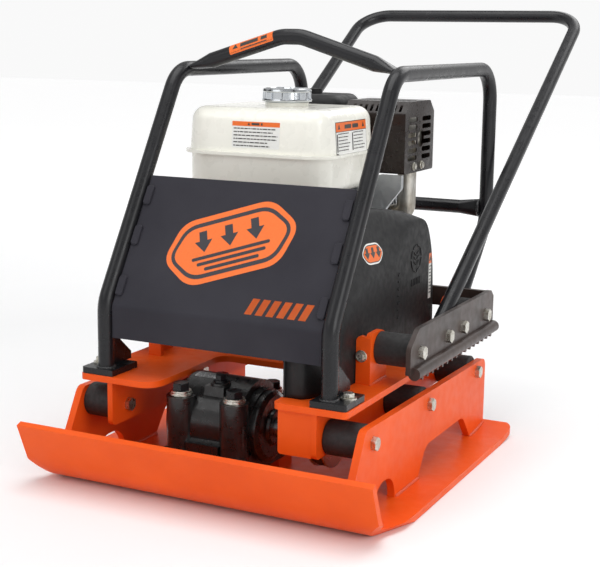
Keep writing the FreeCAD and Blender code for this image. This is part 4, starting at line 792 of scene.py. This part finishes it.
def cap_crown(chrome):
    """The fuel cap: a plated drum with a flange, a top disc and eight upright grips between windows."""
    lowest, highest = low("fuel_cap"), high("fuel_cap")
    centre = Vector((middle("fuel_cap").x, middle("fuel_cap").y, lowest.z))
    tall, reach = highest.z - lowest.z, (highest.x - lowest.x) / 2 - 0.0002
    build = bmesh.new()
    turned(build, centre, UP, (
        (0.0, 0.0272), (0.0112, 0.0272), (0.0112, reach - 0.002), (0.0118, reach - 0.0006),
        (0.0140, reach), (0.0158, reach - 0.0008), (0.0164, reach - 0.0050),
        (tall - 0.0080, reach - 0.0056), (tall - 0.0076, reach - 0.0016), (tall - 0.0060, reach - 0.0010),
        (tall - 0.0030, reach - 0.0022), (tall - 0.0012, reach - 0.0060), (tall - 0.0008, reach - 0.0120),
        (tall - 0.0024, reach - 0.0140), (tall - 0.0024, 0.0120), (tall, 0.0100), (tall, 0.0010)), sides=96)
    grips, half_width, half_turn = 8, 0.0058, math.pi / 8
    for index in range(grips):
        angle = math.tau * index / grips + half_turn
        outward = Vector((math.cos(angle), math.sin(angle), 0))
        across = Vector((-math.sin(angle), math.cos(angle), 0))
        rings = []
        for height, push in ((0.0150, 0.0), (0.0170, 0.0), (tall - 0.0085, -0.0006),
                             (tall - 0.0062, -0.0010)):
            outer = reach - 0.0010 + push
            rings.append([centre + UP * height + outward * depth + across * side
                          for depth, side in ((outer - 0.0085, -half_width), (outer - 0.0018, -half_width),
                                              (outer - 0.0004, -half_width + 0.0016),
                                              (outer - 0.0004, half_width - 0.0016),
                                              (outer - 0.0018, half_width), (outer - 0.0085, half_width))])
        loft(build, rings)
    piece = add_piece("fuel_cap_crown", build, [chrome], "filler_cap", smooth=False)
    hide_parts("fuel_cap")
    return piece


def small_bolt(name, node, start, direction, flats, height, material, body):
    """A hexagon head with a thin washer, seated where a ray meets the node."""
    seat = surface(node).ray_cast(Vector(start), Vector(direction))[0]
    outward = -Vector(direction)
    build = bmesh.new()
    turned(build, seat, outward, ((-0.0005, flats * 0.74), (0.0010, flats * 0.74), (0.0014, flats * 0.70)))
    hex_head(build, seat + outward * 0.0014, outward, flats, height)
    return add_piece(name, build, [material], body, smooth=False)


def fitting_bolts(zinc_plate):
    """Small bolts on the front tabs and on the muffler's guard."""
    for name, side in (("tab_bolt_right", 1), ("tab_bolt_left", -1)):
        small_bolt(name, "handle_tabs", (side * 0.187, -0.4, 0.223), (0, 1, 0), 0.013, 0.006, zinc_plate,
                   "deck")
    for index, y in enumerate((0.286, 0.322)):
        small_bolt(f"muffler_bolt_{index}", "muffler_guard", (0.6, y, 0.482), (-1, 0, 0), 0.010, 0.003,
                   zinc_plate, "deck")


def guard_relief(guard, plastic):
    """Moulded ribs on the belt guard's outer face: a chevron in a ring, and a row of short dashes."""
    height, depth = 0.0014, 0.0010
    build = bmesh.new()

    def bar(y, z, length, width, lean):
        run = Vector((0, math.cos(lean), math.sin(lean)))
        rise = Vector((0, -math.sin(lean), math.cos(lean)))
        foot = Vector((0, y, z))
        rings = []
        for lift, shrink in ((-depth, 1.0), (height * 0.6, 1.0), (height, 0.7)):
            ring = []
            for along, aside in box_outline(-length / 2, -width / 2, length / 2, width / 2, width * 0.3):
                spot = foot + run * (along * (1 - (1 - shrink) * width / length)) + rise * (aside * shrink)
                found = guard.ray_cast(Vector((0.5, spot.y, spot.z)), Vector((-1, 0, 0)))[0]
                if not found:
                    return
                ring.append(found + Vector((lift, 0, 0)))
            rings.append(ring)
        loft(build, rings)

    centre_y, centre_z, ring_radius, sides = 0.180, 0.338, 0.022, 8
    for index in range(sides):
        angle = math.tau * (index + 0.5) / sides
        bar(centre_y + ring_radius * math.cos(angle), centre_z + ring_radius * math.sin(angle),
            0.0150, 0.0030, angle + math.pi / 2)
    for offset in (-0.008, 0.0, 0.008):
        for lean in (-0.5, 0.5):
            bar(centre_y + (0.0055 if lean > 0 else -0.0055), centre_z + offset, 0.0125, 0.0028, lean)
    for index in range(6):
        bar(centre_y - 0.018 + index * 0.0072, centre_z - 0.040, 0.012, 0.0032, math.pi / 2)
    for index in range(7):
        bar(0.104, 0.322 - index * 0.012, 0.0075, 0.0030, 0.0 if index % 2 else 0.6)
    return add_piece("guard_relief", build, [plastic], "deck", smooth=False)


def exciter_tag(metal, ink):
    """Stamped plate on top of the exciter's barrel, behind the filler."""
    width, height = 0.046, 0.020
    layers = [
        (metal, [box_outline(-width / 2, -height / 2, width / 2, height / 2, 0.003)]),
        (ink, small_print(-width / 2 + 0.004, width / 2 - 0.004, height / 2 - 0.004, 4, 0.0044, 0.0018, 5)),
    ]
    return film("exciter_tag", surface("exciter_housing"), Vector((-0.058, -0.113, 0.4)), -UP,
                Vector((1, 0, 0)), layers, "base", grid=0.004)


def muffler_rosette(enamel):
    """The pressed boss in the middle of the muffler guard's outer face."""
    start = middle("muffler_guard")
    start.x = 0.6
    seat = surface("muffler_guard").ray_cast(start, Vector((-1, 0, 0)))[0]
    build = bmesh.new()
    turned(build, seat - Vector((0.002, 0, 0)), Vector((1, 0, 0)), (
        (0, 0.0125), (0.0024, 0.0125), (0.0030, 0.0115), (0.0030, 0.0090), (0.0038, 0.0040),
        (0.0040, 0.0020)), sides=4)
    return add_piece("muffler_rosette", build, [enamel], "deck", smooth=False)


# ---------------------------------------------------------------- moulded belt guard

def cut_corners(points, times=3):
    """An open line with its corners cut off again and again, until they are round."""
    for _ in range(times):
        cut = [points[0]]
        for start, end in zip(points, points[1:]):
            cut += [start.lerp(end, 0.25), start.lerp(end, 0.75)]
        points = cut + [points[-1]]
    return points


def evenly_spaced(points, count):
    """The same line with that many points, evenly spaced along it."""
    reach = [0.0]
    for start, end in zip(points, points[1:]):
        reach.append(reach[-1] + (end - start).length)
    spaced, index = [], 0
    for step in range(count):
        target = reach[-1] * step / (count - 1)
        while index < len(points) - 2 and reach[index + 1] < target:
            index += 1
        share = (target - reach[index]) / (reach[index + 1] - reach[index])
        spaced.append(points[index].lerp(points[index + 1], min(1.0, share)))
    return spaced


def guard_shell(plastic):
    """The belt guard as one moulding: round shoulders, and a sloping front that swells into an S."""
    wide = ((-0.191, 0.1785), (-0.191, 0.280), (-0.166, 0.320), (-0.139, 0.361), (-0.089, 0.4365),
            (0.008, 0.4400), (0.110, 0.4285), (0.198, 0.4140), (0.244, 0.3930), (0.269, 0.3380),
            (0.275, 0.1785))
    face = ((-0.124, 0.1785), (-0.117, 0.240), (-0.098, 0.278), (-0.066, 0.306), (-0.030, 0.329),
            (0.058, 0.3320), (0.092, 0.348), (0.138, 0.388), (0.186, 0.405), (0.226, 0.398),
            (0.252, 0.352), (0.264, 0.300), (0.268, 0.1785))
    profile = ((0.1182, 0.0), (0.1400, 0.0), (0.1445, 0.010), (0.1480, 0.045), (0.1510, 0.110),
               (0.1560, 0.260), (0.1620, 0.450), (0.1680, 0.640), (0.1720, 0.780), (0.1740, 0.870),
               (0.1752, 0.940), (0.1757, 1.0))
    count, wall = 132, 0.0028
    outer_line = evenly_spaced(cut_corners([Vector((0, y, z)) for y, z in wide]), count)
    face_line = evenly_spaced(cut_corners([Vector((0, y, z)) for y, z in face]), count)
    build = bmesh.new()
    rings = []
    for x, share in profile:
        rings.append([build.verts.new(outer.lerp(inner, share) + Vector((x, 0, 0)))
                      for outer, inner in zip(outer_line, face_line)])
    lowest, face_x = face[0][1], 0.1758
    for share in (0.06, 0.45, 0.8):
        ring = []
        for point in face_line:
            drop = (point.z - lowest) * (1 - share)
            ring.append(build.verts.new((face_x, point.y + (0.090 - point.y) * share, lowest + drop)))
        rings.append(ring)
    for ring, following in zip(rings, rings[1:]):
        for index in range(count - 1):
            build.faces.new((ring[index], ring[index + 1], following[index + 1], following[index]))
    build.faces.new(rings[-1])
    bmesh.ops.recalc_face_normals(build, faces=build.faces)
    bmesh.ops.solidify(build, geom=build.faces[:], thickness=wall)
    piece = add_piece("belt_guard_moulding", build, [plastic], "deck")
    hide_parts("belt_guard")
    return piece


# ---------------------------------------------------------------- finishes of the CAD nodes

def paint(material, nodes):
    for node in nodes:
        for holder in NODES[node].material_slots:
            holder.material = material


def soften(width, nodes, angle=35, segments=2):
    """Rounds the sharp edges of CAD nodes a little, so that they catch the light."""
    for node in nodes:
        rounding = NODES[node].modifiers.new("soft_edges", "BEVEL")
        rounding.width = width
        rounding.segments = segments
        rounding.limit_method = "ANGLE"
        rounding.angle_limit = math.radians(angle)
        rounding.harden_normals = True
        rounding.use_clamp_overlap = True


ORANGE = orange_paint()
BLACK = tube_paint()
SHIELD = shield_paint()
ZINC = zinc()
STEEL = machined_steel()
PLASTIC = grained_plastic("grained_plastic", srgb(32, 32, 33), srgb(24, 24, 25))
CASTING = cast_enamel()
ALUMINIUM = cast_aluminium()
CHROME = cap_chrome()
ENAMEL = guard_enamel()
FINISHES = (
    (ORANGE, ("base_plate", "side_plate_right", "side_plate_left", "exciter_mount_bars", "deck_plate",
              "deck_web_right", "deck_web_left", "deck_front_plate", "handle_tabs")),
    (BLACK, ("hoop_right", "hoop_left", "hoop_feet", "lifting_bar", "cage_crossbar", "handle",
             "exciter_plug")),
    (SHIELD, ("shield", "fan_shroud")),
    (bracket_paint(), ("bracket_right", "bracket_left", "bracket_crossbar")),
    (CASTING, ("exciter_housing", "exciter_cap_left", "exciter_cap_right")),
    (ZINC, ("side_plate_bolts", "exciter_bolts", "deck_bolts", "hoop_bolts",
            "bracket_bolts", "engine_bolts")),
    (STEEL, ("exciter_bearings", "exciter_shaft", "exciter_weight", "exciter_pulley", "crankshaft",
             "flywheel", "clutch_drum", "clutch_shoes", "throttle_lever", "choke_lever")),
    (moulded_rubber(), ("deck_isolators", "handle_isolators", "stop_bumpers")),
    (moulded_rubber("belt_rubber"), ("drive_belt",)),
    (ALUMINIUM, ("engine_block", "cylinder_head", "muffler_bracket", "carburettor")),
    (tank_enamel(), ("fuel_tank",)),
    (CHROME, ("fuel_cap",)),
    (PLASTIC, ("belt_guard", "guard_plate", "air_cleaner", "recoil_housing", "recoil_grip",
               "fuel_valve_lever")),
    (ENAMEL, ("muffler_guard",)),
    (exhaust_steel(), ("muffler", "exhaust_elbow")),
    (grained_plastic("red_plastic", srgb(176, 30, 26), srgb(150, 22, 20), 0.35, 0.00003),
     ("ignition_switch",)),
)
for finish, nodes in FINISHES:
    paint(finish, nodes)

soften(0.0012, ("base_plate", "side_plate_right", "side_plate_left", "deck_plate", "deck_web_right",
                "deck_web_left", "deck_front_plate", "handle_tabs", "bracket_right", "bracket_left",
                "hoop_feet", "exciter_mount_bars"))
soften(0.0006, ("side_plate_bolts", "exciter_bolts", "exciter_plug", "deck_bolts", "hoop_bolts",
                "bracket_bolts", "engine_bolts", "shield"))
soften(0.0015, ("deck_isolators", "handle_isolators", "stop_bumpers"))

WHITE_PRINT = printed("white_print", srgb(238, 238, 234), srgb(228, 228, 224))
ORANGE_PRINT = printed("orange_print", srgb(238, 116, 48), srgb(228, 106, 40))
BLACK_PRINT = printed("black_print", srgb(54, 53, 59), srgb(48, 47, 53))
INK = printed("ink_print", srgb(70, 68, 66), srgb(54, 52, 50))

base_welds(weld_metal("orange_weld", srgb(226, 84, 24), srgb(206, 70, 16)))
deck_welds(weld_metal("deck_weld", srgb(226, 84, 24), srgb(206, 70, 16)))
cage_welds(weld_metal("cage_weld", srgb(26, 26, 29), srgb(20, 20, 22)))
mount_welds(weld_metal("mount_weld", srgb(58, 46, 42), srgb(46, 37, 34)))
shield_lugs(SHIELD)
shield_badge(ORANGE_PRINT, BLACK_PRINT)
shield_stripes(ORANGE_PRINT)
tank_label_front(WHITE_PRINT, ORANGE_PRINT, INK)
tank_label_side(WHITE_PRINT, ORANGE_PRINT, INK)
lifting_label(ORANGE_PRINT, INK)
exciter_bolts(BLACK, ZINC)
cap_crown(CHROME)
fitting_bolts(ZINC)
GUARD = outside(guard_shell(PLASTIC))
guard_relief(GUARD, PLASTIC)
guard_stickers(GUARD, WHITE_PRINT, ORANGE_PRINT, INK)
exciter_tag(ALUMINIUM, INK)
muffler_rosette(ENAMEL)


# ---------------------------------------------------------------- floor, lights, camera

def studio():
    """A pale floor that runs out of sight, and a pale sky that is brightest at its foot."""
    build = bmesh.new()
    half, drop = 14.0, 0.0005
    build.faces.new([build.verts.new((x, y, -drop))
                     for x, y in ((-half, -half), (half, -half), (half, half), (-half, half))])
    mesh = bpy.data.meshes.new("floor")
    build.to_mesh(mesh)
    build.free()
    mesh.materials.append(studio_floor())
    floor = bpy.data.objects.new("floor", mesh)
    bpy.context.scene.collection.objects.link(floor)
    world = bpy.data.worlds.new("studio_sky")
    world.use_nodes = True
    tree = world.node_tree
    sky = tree.nodes["Background"]
    sky.inputs["Color"].default_value = (1.0, 1.0, 1.0, 1.0)
    axes = tree.nodes.new("ShaderNodeSeparateXYZ")
    fade = tree.nodes.new("ShaderNodeMapRange")
    for name, value in (("From Min", 0.05), ("From Max", 0.35), ("To Min", 0.95), ("To Max", 0.5)):
        fade.inputs[name].default_value = value
    tree.links.new(tree.nodes.new("ShaderNodeTexCoord").outputs["Generated"], axes.inputs["Vector"])
    tree.links.new(axes.outputs["Z"], fade.inputs["Value"])
    tree.links.new(fade.outputs["Result"], sky.inputs["Strength"])
    bpy.context.scene.world = world
    bpy.context.scene.view_settings.view_transform = "Standard"


def softbox(name, place, target, width, height, power):
    light = bpy.data.lights.new(name, "AREA")
    light.shape = "RECTANGLE"
    light.size = width
    light.size_y = height
    light.energy = power
    holder = bpy.data.objects.new(name, light)
    bpy.context.scene.collection.objects.link(holder)
    place = Vector(place)
    holder.location = place
    holder.rotation_euler = (Vector(target) - place).to_track_quat("-Z", "Y").to_euler()


def camera():
    """The viewpoint: in front, to the belt side, a little above the cage."""
    azimuth, elevation, roll = math.radians(26.4), math.radians(11.0), math.radians(0.7)
    back = Vector((math.sin(azimuth) * math.cos(elevation), -math.cos(azimuth) * math.cos(elevation),
                   math.sin(elevation)))
    right = Vector((math.cos(azimuth), math.sin(azimuth), 0))
    upward = back.cross(right)
    level = (right * math.cos(roll) + upward * math.sin(roll),
             upward * math.cos(roll) - right * math.sin(roll), back)
    lens = bpy.data.cameras.new("camera")
    lens.sensor_width = 36
    lens.lens = 77.04
    lens.clip_end = 60
    place = Vector((0.95555, -1.83385, 0.70961))
    holder = bpy.data.objects.new("camera", lens)
    holder.matrix_world = Matrix.Translation(place) @ Matrix(level).transposed().to_4x4()
    bpy.context.scene.collection.objects.link(holder)
    bpy.context.scene.camera = holder


studio()
softbox("key_light", (-1.6, -2.6, 2.6), (0, 0, 0.3), 2.2, 1.6, 14)
softbox("fill_light", (2.8, -1.4, 1.6), (0, 0, 0.3), 1.8, 1.8, 34)
softbox("rim_light", (0.6, 2.6, 2.4), (0, 0.2, 0.4), 2.4, 1.4, 26)
softbox("top_light", (0, -0.2, 3.2), (0, 0.1, 0.3), 2.6, 2.6, 56)
camera()
